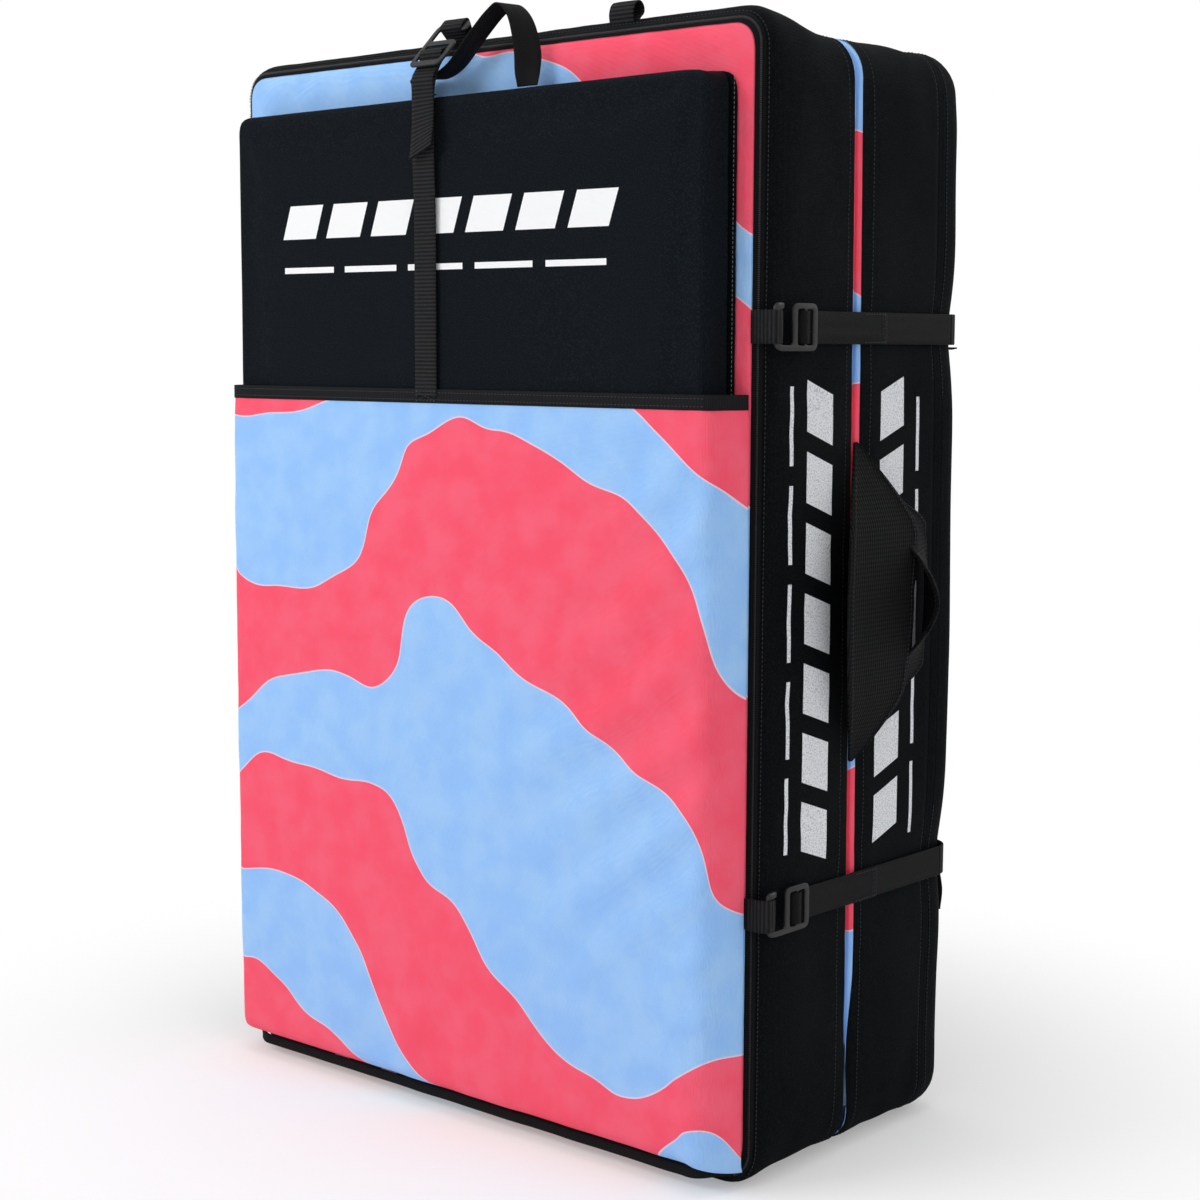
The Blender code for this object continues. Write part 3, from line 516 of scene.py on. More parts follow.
def inflate(name, verts, faces, pinned, slack):
    # Blows the cover up a little between its sewn lines and gives back the new places
    obj = meshPiece(name, verts, faces, None)
    group = obj.vertex_groups.new(name="pinned")
    group.add(sorted(pinned), 1.0, "REPLACE")
    swell = obj.modifiers.new("swell", "CLOTH")
    settings = swell.settings
    settings.quality = 6
    settings.mass = 0.3
    settings.tension_stiffness = settings.compression_stiffness = 12
    settings.shear_stiffness = 5
    settings.bending_stiffness = 0.4
    settings.use_pressure = True
    settings.uniform_pressure_force = simulation["pressure"]
    settings.shrink_min = settings.shrink_max = -slack
    settings.vertex_group_mass = "pinned"
    settings.effector_weights.gravity = 0
    swell.collision_settings.use_self_collision = False
    swell.point_cache.frame_start, swell.point_cache.frame_end = 1, simulation["frames"]
    for number in range(1, simulation["frames"] + 1):
        scene.frame_set(number)
    shape = obj.evaluated_get(bpy.context.evaluated_depsgraph_get()).data
    result = [v.co.copy() for v in shape.vertices]
    mesh = obj.data
    bpy.data.objects.remove(obj, do_unlink=True)
    bpy.data.meshes.remove(mesh)
    scene.frame_set(1)
    return result


def settle(cad, start, swollen, normals, allowed, sunk=0.0022):
    # Caps how far the cover may move, and holds it to what may stand proud of the CAD face
    cap = simulation["cap"]
    places = []
    for base, begin, end, normal in zip(cad, start, swollen, normals):
        move = end - begin
        if move.length > 1e-9:
            move *= cap * math.tanh(move.length / cap) / move.length
        place = begin + move
        stand = (place - base).dot(normal)
        place -= normal * max(0, stand - allowed(base, normal))
        place += normal * max(0, -sunk - stand)
        places.append(place)
    return places


def splitRegions(name, verts, faces, regions, names):
    # Subdivides the cover once and cuts it at its sewn lines into closed pieces
    obj = meshPiece(name, verts, faces, None)
    for region in names:
        obj.data.materials.append(None)
    for polygon, region in zip(obj.data.polygons, regions):
        polygon.material_index = region
    smooth = obj.modifiers.new("smooth", "SUBSURF")
    smooth.levels = smooth.render_levels = 1
    bakeModifiers(obj)
    pieces = []
    for region, pieceName in enumerate(names):
        bm = bmesh.new()
        bm.from_mesh(obj.data)
        away = [f for f in bm.faces if f.material_index != region]
        bmesh.ops.delete(bm, geom=away, context="FACES")
        rim = [e for e in bm.edges if e.is_boundary]
        if rim:
            caps = bmesh.ops.edgeloop_fill(bm, edges=rim)["faces"]
            if region == cover["bandRegion"]:
                # The band's hidden caps lie back from its seams, clear of the panels beside it
                bmesh.ops.recalc_face_normals(bm, faces=bm.faces)
                bmesh.ops.inset_region(bm, faces=caps, thickness=cover["capInset"], depth=-cover["capDepth"])
            bmesh.ops.triangulate(bm, faces=[f for f in bm.faces if len(f.verts) > 4])
        for face in bm.faces:
            face.material_index = 0
        bmesh.ops.recalc_face_normals(bm, faces=bm.faces)
        pieces.append(bmeshPiece(pieceName, bm, finishes["side"]))
    mesh = obj.data
    bpy.data.objects.remove(obj, do_unlink=True)
    bpy.data.meshes.remove(mesh)
    return pieces


# The two halves
cover = {"inset": 0.004, "seamSink": 0.0014, "slack": 0.012, "sideBulge": 0.0035, "crown": 0.0050,
         "strapDip": 0.0024, "straps": (0.795, 0.262), "landingPush": 0.0062, "landingEdge": 0.0050,
         "landingSeam": 0.0004, "lean": 0.0045, "rearFlare": 0.0070, "stripEnd": 0.085, "stripFull": 0.19,
         "stripSink": 0.0025, "stripMeet": 0.0007, "seamBand": 0.0025, "topDrop": 0.017, "foot": 0.0085,
         "footRumple": 0.0022, "bandRumple": 0.0010, "faceRumple": 0.0010, "cornerRumple": 0.0018,
         "rearWave": 0.0030, "faceProud": 0.0015, "foldProud": 0.0002, "capInset": 0.012, "capDepth": 0.008,
         "bandRegion": 2}


def strapNear(z, width):
    return max(bell(z, level, width) for level in cover["straps"])


def edgeRings(front):
    # Insets and depths from the outer face to the landing face, and which rings are sewn
    outer, landing = pad["outerEdge"], cover["landingEdge"]
    landingDepth = pad["halfThickness"] + cover["landingPush"] - landing
    landingDepth += 0 if front else pad["backPadding"]
    rings = [(outer, 0.0, 0)]
    if front:
        lip = math.acos(1 - pad["tapeStart"] / outer)
        tape = math.acos(1 - pad["tapeEnd"] / outer)
        turns = ((lip * 0.5, 0), (lip, 0), ((lip + tape) / 2, 1), (tape, 1), ((tape + math.pi / 2) / 2, 2),
                 (math.pi / 2, 2))
        flat, steps = [], 9
    else:
        turns = [(math.radians(angle), 0) for angle in (24, 46, 68, 90)]
        end = pad["backLip"] + pad["tape"]
        flat = [((outer + pad["backLip"]) / 2, 0), (pad["backLip"], 0),
                ((pad["backLip"] + end) / 2, 1), (end, 1)]
        steps = 8
    for angle, region in turns:
        rings.append((outer * (1 - math.sin(angle)), outer * (1 - math.cos(angle)), region))
    rings += [(0.0, depth, region) for depth, region in flat]
    begin, seam = rings[-1][1], landingDepth - cover["landingSeam"]
    for i in range(1, steps + 1):
        rings.append((0.0, begin + (seam - cover["seamBand"] - begin) * i / steps, 2))
    rings.append((0.0, seam, 2))
    sewn = ((2, 4) if front else (6, 8)) + (len(rings) - 1,)
    for angle in (0, 30, 60, 90):
        turn = math.radians(angle)
        rings.append((landing * (1 - math.cos(turn)), landingDepth + landing * math.sin(turn), 3))
    return rings, sewn


def buildHalf(side):
    front = side == "front"
    rings, sewnRings = edgeRings(front)
    countX, countZ = round(pad["width"] / pad["grid"]), round(padHeight / pad["grid"])
    local, faces, regions, ringIndex = paddedBlock(sideX, padHeight / 2, pad["corner"], rings, countX,
                                                   countZ, padHeight / 2)
    turn = (lambda p: Vector((p.x, p.y - halfDepth, p.z))) if front else \
        (lambda p: Vector((-p.x, rearDepth - p.y, p.z)))
    cad = [turn(p) for p in local]
    normals = pointNormals(cad, faces)
    sewn = {i for ring in sewnRings for i in ringIndex[ring]}
    start = []
    for i, (place, normal) in enumerate(zip(cad, normals)):
        start.append(place - normal * (cover["seamSink"] if i in sewn else cover["inset"]))
    seed = 1 if front else 2

    def allowed(p, n):
        # How far the cover may stand out from the CAD's face: nothing where other pieces lie on it
        if abs(p.y) < 0.012:
            return cover["foldProud"]
        if abs(n.y) > 0.8:
            if front:
                return cover["faceProud"] if p.z > 1.015 or p.x > 0.342 else 0.0
            return cover["faceProud"] * smoothStep(0.24, 0.29, abs(p.x))
        if n.z < -0.5:
            return 0.0
        if n.x < -0.5 and abs(p.y) < 0.045:
            return 0.0
        free = 1 - strapNear(p.z, 0.05)
        return cover["sideBulge"] * free * (0.7 + 0.6 * rough(p.x, p.y, p.z, 4, seed))

    swollen = inflate(side + "Cover", start, faces, sewn, cover["slack"])
    places = settle(cad, start, swollen, normals, allowed)

    def creased(place, normal, i):
        x, y, z = place
        depth = 0.0
        across = abs(normal.x)
        if abs(normal.y) < 0.6:
            # The side bands: the straps pull them in, and the foot is rumpled
            depth += cover["strapDip"] * strapNear(z, 0.022) * across * smoothStep(0.0, 0.12, abs(y))
            lowZ = 1 - smoothStep(0.0, 0.22, z)
            depth += cover["footRumple"] * lowZ * (rough(x, y, z * 0.5, 22, seed) + 0.3)
            depth += cover["bandRumple"] * (rough(x * 0.3, y * 1.6, z * 0.5, 16, seed + 3) + 0.3)
        else:
            depth += cover["faceRumple"] * max(0, rough(x * 2, 0, z * 0.6, 9, seed + 5))
        corner = smoothStep(0.27, 0.35, abs(x)) * smoothStep(0.45, 0.53, abs(z - padHeight / 2))
        depth += cover["cornerRumple"] * corner * (rough(x, y, z, 40, seed + 6) + 0.25)
        if i in sewn:
            depth *= 0.4
        return place - normal * max(-0.001, depth)

    places = [creased(p, n, i) for i, (p, n) in enumerate(zip(places, normals))]
    for p, n in zip(places, normals):
        # The gap leans a little on the open side, and closes towards the foot
        openSide = smoothStep(0.05, 0.30, p.x)
        near = 1 - smoothStep(0.015, 0.075, abs(p.y))
        foot = 0.0003 * (1 - smoothStep(0.08, 0.24, p.z)) * (1 - smoothStep(0.012, 0.03, abs(p.y)))
        p.z += cover["crown"] * max(0, n.z) ** 2 * (0.35 + 0.65 * smoothStep(-0.25, 0.25, p.x))
        # The top falls away behind the front edge, and the foot of the outer edge stands square
        behind = smoothStep(-0.135, -0.01, p.y) * smoothStep(0.93, 1.06, p.z)
        p.z -= cover["topDrop"] * behind * (0.6 + 0.4 * smoothStep(-0.1, 0.3, p.x))
        if front and n.z < -0.02 and n.y < -0.02:
            square = 2 * n.z * n.y
            p.z = max(0.0004, p.z - cover["foot"] * square)
            p.y -= cover["foot"] * 0.5 * square
        p.y += cover["lean"] * (1 - 2 * p.z / padHeight) * openSide * near + foot * (1 if front else -1)
        if not front and p.z > 0.03:
            # The back's edge flares and wanders, as a cloth cover does
            rim = smoothStep(0.095, rearDepth - 0.012, p.y) * abs(n.x)
            height = smoothStep(0.05, 0.35, p.z) * (1.4 - 0.4 * smoothStep(0.55, 0.98, p.z))
            flare = cover["rearFlare"] * max(0.35, height) * (1 - strapNear(p.z, 0.05))
            wave = cover["rearWave"] * rough(0, 0, p.z, 6, seed + 9)
            p.x += (flare + wave) * rim * (1 if p.x > 0 else -1) * (1 - smoothStep(0.98, 1.05, p.z) * 0.7)
    # Near the foot the bands run on round the edge, so no print shows there
    last = sewnRings[-1]
    begin = ringIndex[last]
    after = ringIndex[last + 1:last + 5]
    bandEnd, bandBefore = ringIndex[last - 1], ringIndex[last - 2]
    for j, i in enumerate(begin):
        closed = (1 - smoothStep(cover["stripEnd"], cover["stripFull"], places[i].z)) * \
            smoothStep(0.27, 0.32, places[i].x)
        line = [places[i].copy()] + [places[ring[j]].copy() for ring in after]
        inward = line[4] - line[3]
        inward.y = 0
        inward.normalize()
        for k, spot in enumerate([i] + [ring[j] for ring in after]):
            move = inward * (cover["stripSink"] * k)
            if k == 0:
                move = Vector((0, cover["stripMeet"] * (1 if front else -1), 0))
            places[spot] = line[k].lerp(line[4] + move, closed)
        places[bandEnd[j]] = places[bandEnd[j]].lerp((line[2] + line[3]) / 2, closed)
        places[bandBefore[j]] = places[bandBefore[j]].lerp(line[0], closed * 0.8)
    names = [side + n for n in ("Panel", "ZipTape" if front else "EdgeBinding", "Band", "Landing")]
    return splitRegions(side + "Block", places, faces, regions, names)


frontPanel, zipTape, frontBand, frontLanding = buildHalf("front")
rearPanel, edgeBinding, rearBand, rearLanding = buildHalf("rear")
foam = ("foam_base", "foam_core", "foam_top")
for piece, finish, side, *nodes in (
        (frontPanel, "print", "front", "outer_panel"), (zipTape, "tape", "front", "zip_tape"),
        (frontBand, "side", "front", "side_band", *foam),
        (frontLanding, "landingPrint", "front", "landing_panel"),
        (rearPanel, "back", "rear", "outer_panel"), (edgeBinding, "back", "rear", "edge_binding"),
        (rearBand, "side", "rear", "side_band", *foam),
        (rearLanding, "landingPrint", "rear", "landing_panel")):
    piece.data.materials[0] = finishes[finish]
    keep(piece, side + "_half", *(side + "_" + node for node in nodes))
print("stage: padded halves made")

# The small pad: a soft block behind the pocket, sewn to a thin back sheet
small = {"left": 0.036, "right": 0.036, "topDrop": 0.057, "bottom": 0.033, "thickness": 0.038,
         "corner": 0.012, "edge": 0.008, "back": 0.003, "flange": 0.005, "slip": 0.0005, "inset": 0.003,
         "pucker": 0.0016, "lean": 0.0022, "pleat": 0.0030, "dip": 0.0009, "grid": 0.0105,
         "backGrid": (52, 78)}
smallWidth = pad["width"] - small["left"] - small["right"]
smallX = (small["left"] - small["right"]) / 2
smallTop = padHeight - small["topDrop"]
smallHeight = smallTop - small["bottom"]
smallBackY = -halfDepth - small["slip"]
smallFrontY = smallBackY - small["thickness"]


def buildSmallPad():
    depth = small["thickness"] - small["back"] - pad["seamGap"]
    edge = small["edge"]
    rings = [(edge, 0.0, 0)]
    for angle in (30, 60, 90):
        turn = math.radians(angle)
        rings.append((edge * (1 - math.sin(turn)), edge * (1 - math.cos(turn)), 0))
    for i in range(1, 5):
        rings.append((0.0, edge + (depth - 0.002 - edge) * i / 4, 0))
    rings.append((0.0015, depth, 0))
    countX, countZ = round(smallWidth / small["grid"]), round(smallHeight / small["grid"])
    local, faces, regions, ringIndex = paddedBlock(smallWidth / 2, smallHeight / 2, small["corner"], rings,
                                                   countX, countZ, small["bottom"] + smallHeight / 2)
    cad = [Vector((p.x + smallX, p.y + smallFrontY, p.z)) for p in local]
    normals = pointNormals(cad, faces)
    sewn = set(ringIndex[7]) | set(ringIndex[8])
    start = [p - n * (0.0006 if i in sewn else small["inset"]) for i, (p, n) in enumerate(zip(cad, normals))]

    def allowed(p, n):
        if n.y > 0.5 or n.z < -0.5:
            return 0.0
        if n.y < -0.8:
            return 0.0006
        return 0.0012

    places = settle(cad, start, inflate("smallCover", start, faces, sewn, 0.012), normals, allowed)
    result = []
    for i, (p, n) in enumerate(zip(places, normals)):
        wall = 1 - abs(n.y)
        deep = smoothStep(smallFrontY + 0.006, smallBackY - 0.004, p.y)
        pucker = small["pucker"] * wall * deep * (rough(p.x, 0, p.z, 46, 4) + 0.35)
        # A pleat at the upper right corner, and soft dips along the front's edges
        pleat = bell(p.x, smallX + smallWidth / 2 - 0.012, 0.010) * bell(p.z, smallTop - 0.03, 0.05)
        pleat *= small["pleat"]
        dip = small["dip"] * max(0, rough(p.x, 0, p.z, 7, 11)) * (1 - wall)
        spot = p - n * (max(0, pucker) + pleat * (0.4 + 0.6 * wall) + dip)
        spot.z += small["lean"] * (p.x - smallX) / (smallWidth / 2) * smoothStep(0.5, 1.0, p.z)
        result.append(spot)
    return splitRegions("smallBlock", result, faces, regions, ["smallPad"])[0]


smallPad = buildSmallPad()
smallPad.data.materials[0] = finishes["small"]
keep(smallPad, "small_pad", "small_pad_cover", "small_pad_foam")


def buildSmallBack():
    halfW = smallWidth / 2 + small["flange"]
    halfH = (smallHeight + small["flange"]) / 2
    midZ = small["bottom"] + halfH - small["flange"]
    rings = [(0.0012, 0.0, 0), (0.0003, 0.0006, 0), (0.0, 0.0015, 0), (0.0003, 0.0024, 0),
             (0.0012, small["back"], 0)]
    local, faces, regions, ringIndex = paddedBlock(halfW, halfH, small["corner"], rings, *small["backGrid"],
                                                   midZ)
    verts = []
    for p in local:
        wave = 0.0007 * rough(p.x, 0, p.z, 30, 21)
        edge = smoothStep(halfW - 0.02, halfW, abs(p.x))
        nick = 0.0008 * edge * abs(rough(0, 0, p.z, 24, 5)) * (1 if p.x > 0 else -1)
        y = smallBackY - small["back"] + p.y + min(0, wave) * edge
        verts.append(Vector((p.x + smallX - nick, y, p.z)))
    return splitRegions("backSheet", verts, faces, regions, ["smallPadBack"])[0]


smallPadBack = buildSmallBack()
smallPadBack.data.materials[0] = finishes["flange"]
keep(smallPadBack, "small_pad", "small_pad_back")
print("stage: small pad made")

# The pocket: one printed sheet from the pad's seams round the small pad, open at the top
pocket = {"top": 0.735, "binding": 0.014, "cloth": 0.0014, "slip": 0.001, "sideSlip": 0.002, "wall": 0.002,
          "puff": 0.0042, "wallSwell": 0.0035, "bindingThickness": 0.0026, "drag": 0.0052, "fold": 0.0068,
          "sideFold": 0.0030, "rumple": 0.0060, "sag": 0.0018, "fineSag": 0.0010, "pull": 0.0042}
lipAngle = math.acos(1 - pad["tapeStart"] / pad["outerEdge"])
seamInset = pad["outerEdge"] * (1 - math.sin(lipAngle))
pocketFrontY = smallFrontY - pocket["slip"] - pocket["wall"]
pocketSeamX = sideX - seamInset
pocketSeamY = -halfDepth + pad["tapeStart"] + 0.001
pocketSeamZ = seamInset
pocketLeft = smallX - smallWidth / 2 - pocket["sideSlip"] - pocket["wall"]
pocketRight = smallX + smallWidth / 2 + pocket["sideSlip"] + pocket["wall"]
pocketLow = small["bottom"] - pocket["sideSlip"] - pocket["wall"]


def softMin(values, soft):
    total = sum(math.exp(-v / soft) for v in values)
    return -soft * math.log(total)


def pocketDepth(x, z):
    # How far forward of the seams the sheet stands, from 0 at the seams to 1 over the small pad
    ramps = [(x + pocketSeamX) / (pocketLeft + pocketSeamX), (pocketSeamX - x) / (pocketSeamX - pocketRight),
             (z - pocketSeamZ) / (pocketLow - pocketSeamZ)]
    ramp = softMin([max(0, r) for r in ramps] + [1.0], 0.20) + 0.07
    return min(1, max(0, ramp))


def pocketPlace(x, z, lift=0.0):
    share = pocketDepth(x, z)
    reach = pocketSeamY + (pocketFrontY + pocket["cloth"] / 2 - pocketSeamY) * share
    inner = share * share
    puff = pocket["puff"] * inner * math.sin(math.pi * min(1, max(0, (z - 0.03) / 0.70))) ** 0.6 * \
        (0.35 + 0.5 * rough(x, 0, z, 3.0, 31) + 0.3)
    # Drag lines fan from the right side and the lower right corner
    right = smoothStep(-0.05, 0.34, x)
    fan = (z - 0.55) + (0.34 - x) * 0.8 + 0.05 * rough(x, 0, z, 3, 33)
    drag = pocket["drag"] * right * math.sin(fan * 78) * smoothStep(0.10, 0.40, z)
    drag *= (1 - smoothStep(0.62, 0.72, z)) * (0.4 + 0.9 * rough(x, 0, z, 4.5, 34))
    ridge = bell((x - 0.30) + (z - 0.12) * 0.22, 0, 0.013) * (1 - smoothStep(0.08, 0.26, z))
    trough = bell((x - 0.27) + (z - 0.10) * 0.30, 0, 0.014) * (1 - smoothStep(0.10, 0.22, z))
    fold = pocket["fold"] * ridge - pocket["sideFold"] * trough
    low = 1 - smoothStep(0.03, 0.20, z)
    rumple = pocket["rumple"] * low * rough(x, 0, z * 0.35, 17, 35)
    sag = pocket["sag"] * rough(x, 0, z, 9, 37) * inner
    sag += pocket["fineSag"] * rough(x + z, 0, z - x, 22, 38) * inner
    near = smoothStep(0.700, 0.728, z)
    # Short puckers run in from the sewn side, and the walls swell outwards a little
    pull = pocket["pull"] * math.exp(-max(0, pocketRight - x) / 0.030) * (1 - near) * \
        math.sin(z * 118 + 5 * rough(0, 0, z, 4, 41)) * (0.4 + 0.8 * rough(0, 0, z, 6, 42))
    out = (puff + drag + fold + rumple + sag + max(0, pull)) * (1 - near) * inner
    wall = 4 * share * (1 - share) * (1 - near)
    side = 1 if x > 0 else -1
    swell = pocket["wallSwell"] * wall * smoothStep(0.27, 0.32, abs(x)) * (1 + 0.5 * rough(0, 0, z, 12, 43))
    drop = pocket["wallSwell"] * wall * (1 - smoothStep(0.02, 0.05, z)) * 0.5
    return Vector((x + side * swell, reach - max(out, -0.0006) - lift, z - drop))


def buildPocket():
    columns = [-pocketSeamX + (pocketLeft + pocketSeamX) * i / 6 for i in range(6)]
    columns += [pocketLeft + (pocketRight - pocketLeft) * i / 96 for i in range(97)]
    columns += [pocketRight + (pocketSeamX - pocketRight) * i / 7 for i in range(1, 8)]
    topZ = pocket["top"] - pocket["binding"] + 0.002
    rows = [pocketSeamZ + (pocketLow - pocketSeamZ) * i / 6 for i in range(6)]
    rows += [pocketLow + (topZ - pocketLow) * i / 105 for i in range(106)]
    verts, faces = [], []
    for z in rows:
        for x in columns:
            verts.append(pocketPlace(x, z))
    wide = len(columns)
    for k in range(len(rows) - 1):
        for i in range(wide - 1):
            a = k * wide + i
            faces.append((a, a + 1, a + wide + 1, a + wide))
    obj = meshPiece("pocketSheet", verts, faces, finishes["print"])
    wall = obj.modifiers.new("cloth", "SOLIDIFY")
    wall.thickness = pocket["cloth"]
    wall.offset = 0
    wall.use_even_offset = False
    smooth = obj.modifiers.new("smooth", "SUBSURF")
    smooth.levels = smooth.render_levels = 1
    smooth.boundary_smooth = "PRESERVE_CORNERS"
    bakeModifiers(obj)
    return obj


pocketSheet = buildPocket()
footTape = {"low": 0.0135, "high": 0.0235, "thickness": 0.0016}
keep(pocketSheet, "front_half", "pocket_panel")
print("stage: pocket made")


# Bands of webbing and tape


def smoothLine(sections, step):
    # A smooth line through sections, each a place and half of the width, cut into even steps
    rows = [tuple(place) + tuple(across) for place, across in sections]
    count = len(rows)

    def extended(i):
        if i < 0:
            return [2 * a - b for a, b in zip(rows[0], rows[1])]
        if i >= count:
            return [2 * a - b for a, b in zip(rows[-1], rows[-2])]
        return rows[i]

    fine = []
    for i in range(count - 1):
        p = [extended(i + k) for k in (-1, 0, 1, 2)]
        t = [0.0]
        for a, b in zip(p, p[1:]):
            t.append(t[-1] + max(1e-5, math.dist(a[:3], b[:3])) ** 0.5)
        parts = max(3, int(math.dist(p[1][:3], p[2][:3]) / step * 2))
        for k in range(parts):
            u = t[1] + (t[2] - t[1]) * k / parts

            def mix(a, b, ta, tb):
                return [x * (tb - u) / (tb - ta) + y * (u - ta) / (tb - ta) for x, y in zip(a, b)]
            a1, a2, a3 = (mix(p[m], p[m + 1], t[m], t[m + 1]) for m in range(3))
            b1, b2 = mix(a1, a2, t[0], t[2]), mix(a2, a3, t[1], t[3])
            fine.append(mix(b1, b2, t[1], t[2]))
    fine.append(list(rows[-1]))
    lengths = [0.0]
    for a, b in zip(fine, fine[1:]):
        lengths.append(lengths[-1] + math.dist(a[:3], b[:3]))
    total = lengths[-1]
    steps = max(4, round(total / step))
    line, here = [], 0
    for k in range(steps + 1):
        want = total * k / steps
        while here < len(fine) - 2 and lengths[here + 1] < want:
            here += 1
        share = (want - lengths[here]) / max(1e-9, lengths[here + 1] - lengths[here])
        row = [a + (b - a) * share for a, b in zip(fine[here], fine[here + 1])]
        line.append((Vector(row[:3]), Vector(row[3:]), want))
    return line


flatProfile = [(-0.955, 1), (-0.5, 1), (0, 1), (0.5, 1), (0.955, 1)]


def band(name, sections, thickness, material, step=0.0015, ribLift=0.0, profile=flatProfile, selvedge=0.3):
    # A closed band along a line. Every second step can stand a little higher, as ribs do.
    line = smoothLine(sections, step)
    verts, faces, uvs = [], [], []
    width = max(across.length for place, across, want in line)
    rings = []
    for k, (place, across, want) in enumerate(line):
        before, after = line[max(0, k - 1)][0], line[min(len(line) - 1, k + 1)][0]
        tangent = (after - before).normalized()
        out = across.cross(tangent)
        if out.length < 1e-9:
            out = Vector((0, 0, 1)).cross(tangent)
        out.normalize()
        rib = ribLift if k % 2 else -ribLift
        ring = []
        for f, thick in profile:
            lift = thickness / 2 * thick + (rib if abs(f) < 0.9 else 0)
            ring.append((place + across * f + out * lift, f))
        ring.append((place + across, 1))
        for f, thick in profile[::-1]:
            lift = thickness / 2 * thick + (rib if abs(f) < 0.9 else 0)
            ring.append((place + across * f - out * lift, f))
        ring.append((place - across, -1))
        rings.append((len(verts), want))
        for point, f in ring:
            verts.append(point)
            uvs.append((want, f * across.length))
    size = 2 * len(profile) + 2
    for (a, w), (b, v) in zip(rings, rings[1:]):
        for j in range(size):
            k = (j + 1) % size
            faces.append((a + j, a + k, b + k, b + j))
    faces.append(tuple(range(size))[::-1])
    last = rings[-1][0]
    faces.append(tuple(range(last, last + size)))
    mesh = bpy.data.meshes.new(name)
    mesh.from_pydata([tuple(v) for v in verts], [], faces)
    layer = mesh.uv_layers.new(name="UVMap")
    for loop in mesh.loops:
        layer.data[loop.index].uv = uvs[loop.vertex_index]
    bm = bmesh.new()
    bm.from_mesh(mesh)
    bmesh.ops.recalc_face_normals(bm, faces=bm.faces)
    bm.to_mesh(mesh)
    bm.free()
    return linkPiece(name, mesh, material)


def joined(name, parts):
    # Several meshes as one piece
    bm = bmesh.new()
    for obj in parts:
        bm.from_mesh(obj.data)
    material = parts[0].data.materials[0]
    result = bmeshPiece(name, bm, material)
    for obj in parts:
        mesh = obj.data
        bpy.data.objects.remove(obj, do_unlink=True)
        bpy.data.meshes.remove(mesh)
    return result


def frameAt(place, along, outward):
    along, outward = Vector(along).normalized(), Vector(outward).normalized()
    turned = Matrix((along, outward.cross(along), outward)).transposed().to_4x4()
    turned.translation = place
    return turned


def roundedOutline(corners, steps=5):
    # Corners are places with their own radius
    points = []
    for i, (x, y, radius) in enumerate(corners):
        here = Vector((x, y))
        back = (Vector(corners[i - 1][:2]) - here).normalized()
        ahead = (Vector(corners[(i + 1) % len(corners)][:2]) - here).normalized()
        for step in range(steps + 1):
            share = step / steps
            points.append(here + radius * (back * (1 - share) ** 2 + ahead * share ** 2))
    return points


def box2d(x, y, length, height, radius):
    return [(x - length / 2, y - height / 2, radius), (x + length / 2, y - height / 2, radius),
            (x + length / 2, y + height / 2, radius), (x - length / 2, y + height / 2, radius)]


def plate(name, outlines, thickness, place, bevel, material, steps=5):
    # A flat moulded or cast piece with rounded rims and holes
    curve = bpy.data.curves.new(name, "CURVE")
    curve.dimensions = "2D"
    curve.fill_mode = "BOTH"
    curve.extrude = thickness / 2 - bevel
    curve.bevel_depth = bevel
    curve.bevel_resolution = 2
    curve.offset = -bevel
    for corners in outlines:
        points = roundedOutline(corners, steps)
        spline = curve.splines.new("POLY")
        spline.points.add(len(points) - 1)
        for point, spot in zip(spline.points, points):
            point.co = (spot[0], spot[1], 0, 1)
        spline.use_cyclic_u = True
    flat = bpy.data.objects.new(name + "Outline", curve)
    scene.collection.objects.link(flat)
    mesh = bpy.data.meshes.new_from_object(flat.evaluated_get(bpy.context.evaluated_depsgraph_get()))
    bpy.data.objects.remove(flat, do_unlink=True)
    bpy.data.curves.remove(curve)
    bm = bmesh.new()
    bm.from_mesh(mesh)
    bpy.data.meshes.remove(mesh)
    bmesh.ops.remove_doubles(bm, verts=bm.verts, dist=0.00002)
    bmesh.ops.recalc_face_normals(bm, faces=bm.faces)
    bm.transform(place)
    obj = bmeshPiece(name, bm, material)
    obj.data.set_sharp_from_angle(angle=math.radians(42))
    return obj


strap = {"width": 0.030, "thickness": 0.0016, "gap": 0.0003, "slip": 0.0005, "step": 0.002,
         "ribStep": 0.0014, "rib": 0.00022}
layerPitch = strap["thickness"] + strap["gap"]
hook = {"height": 0.043, "thickness": 0.003, "rim": 0.007, "slot": 0.0095, "bar": 0.004, "reach": 0.028,
        "hookBar": 0.008, "tip": 0.006, "bevel": 0.0011}
layerOffset = hook["thickness"] / 2 + strap["gap"] + strap["thickness"] / 2
hookFrame = 2 * hook["rim"] + 2 * hook["slot"] + hook["bar"]
hookBarStart = hookFrame / 2 + hook["reach"] - hook["hookBar"]


def slotPair(bar, slot, height, radius):
    # The slots on both sides of a buckle's centre bar
    return [box2d(side * (bar + slot) / 2, 0, slot, height, radius) for side in (-1, 1)]


def ribbed(name, sections):
    return band(name, sections, strap["thickness"], finishes["webbing"], strap["ribStep"], strap["rib"])


def twilled(name, sections):
    return band(name, sections, strap["thickness"], finishes["twill"], strap["step"])


def hookPlate(name, place):
    return plate(name, hookOutlines(), hook["thickness"], place, hook["bevel"], finishes["hook"])


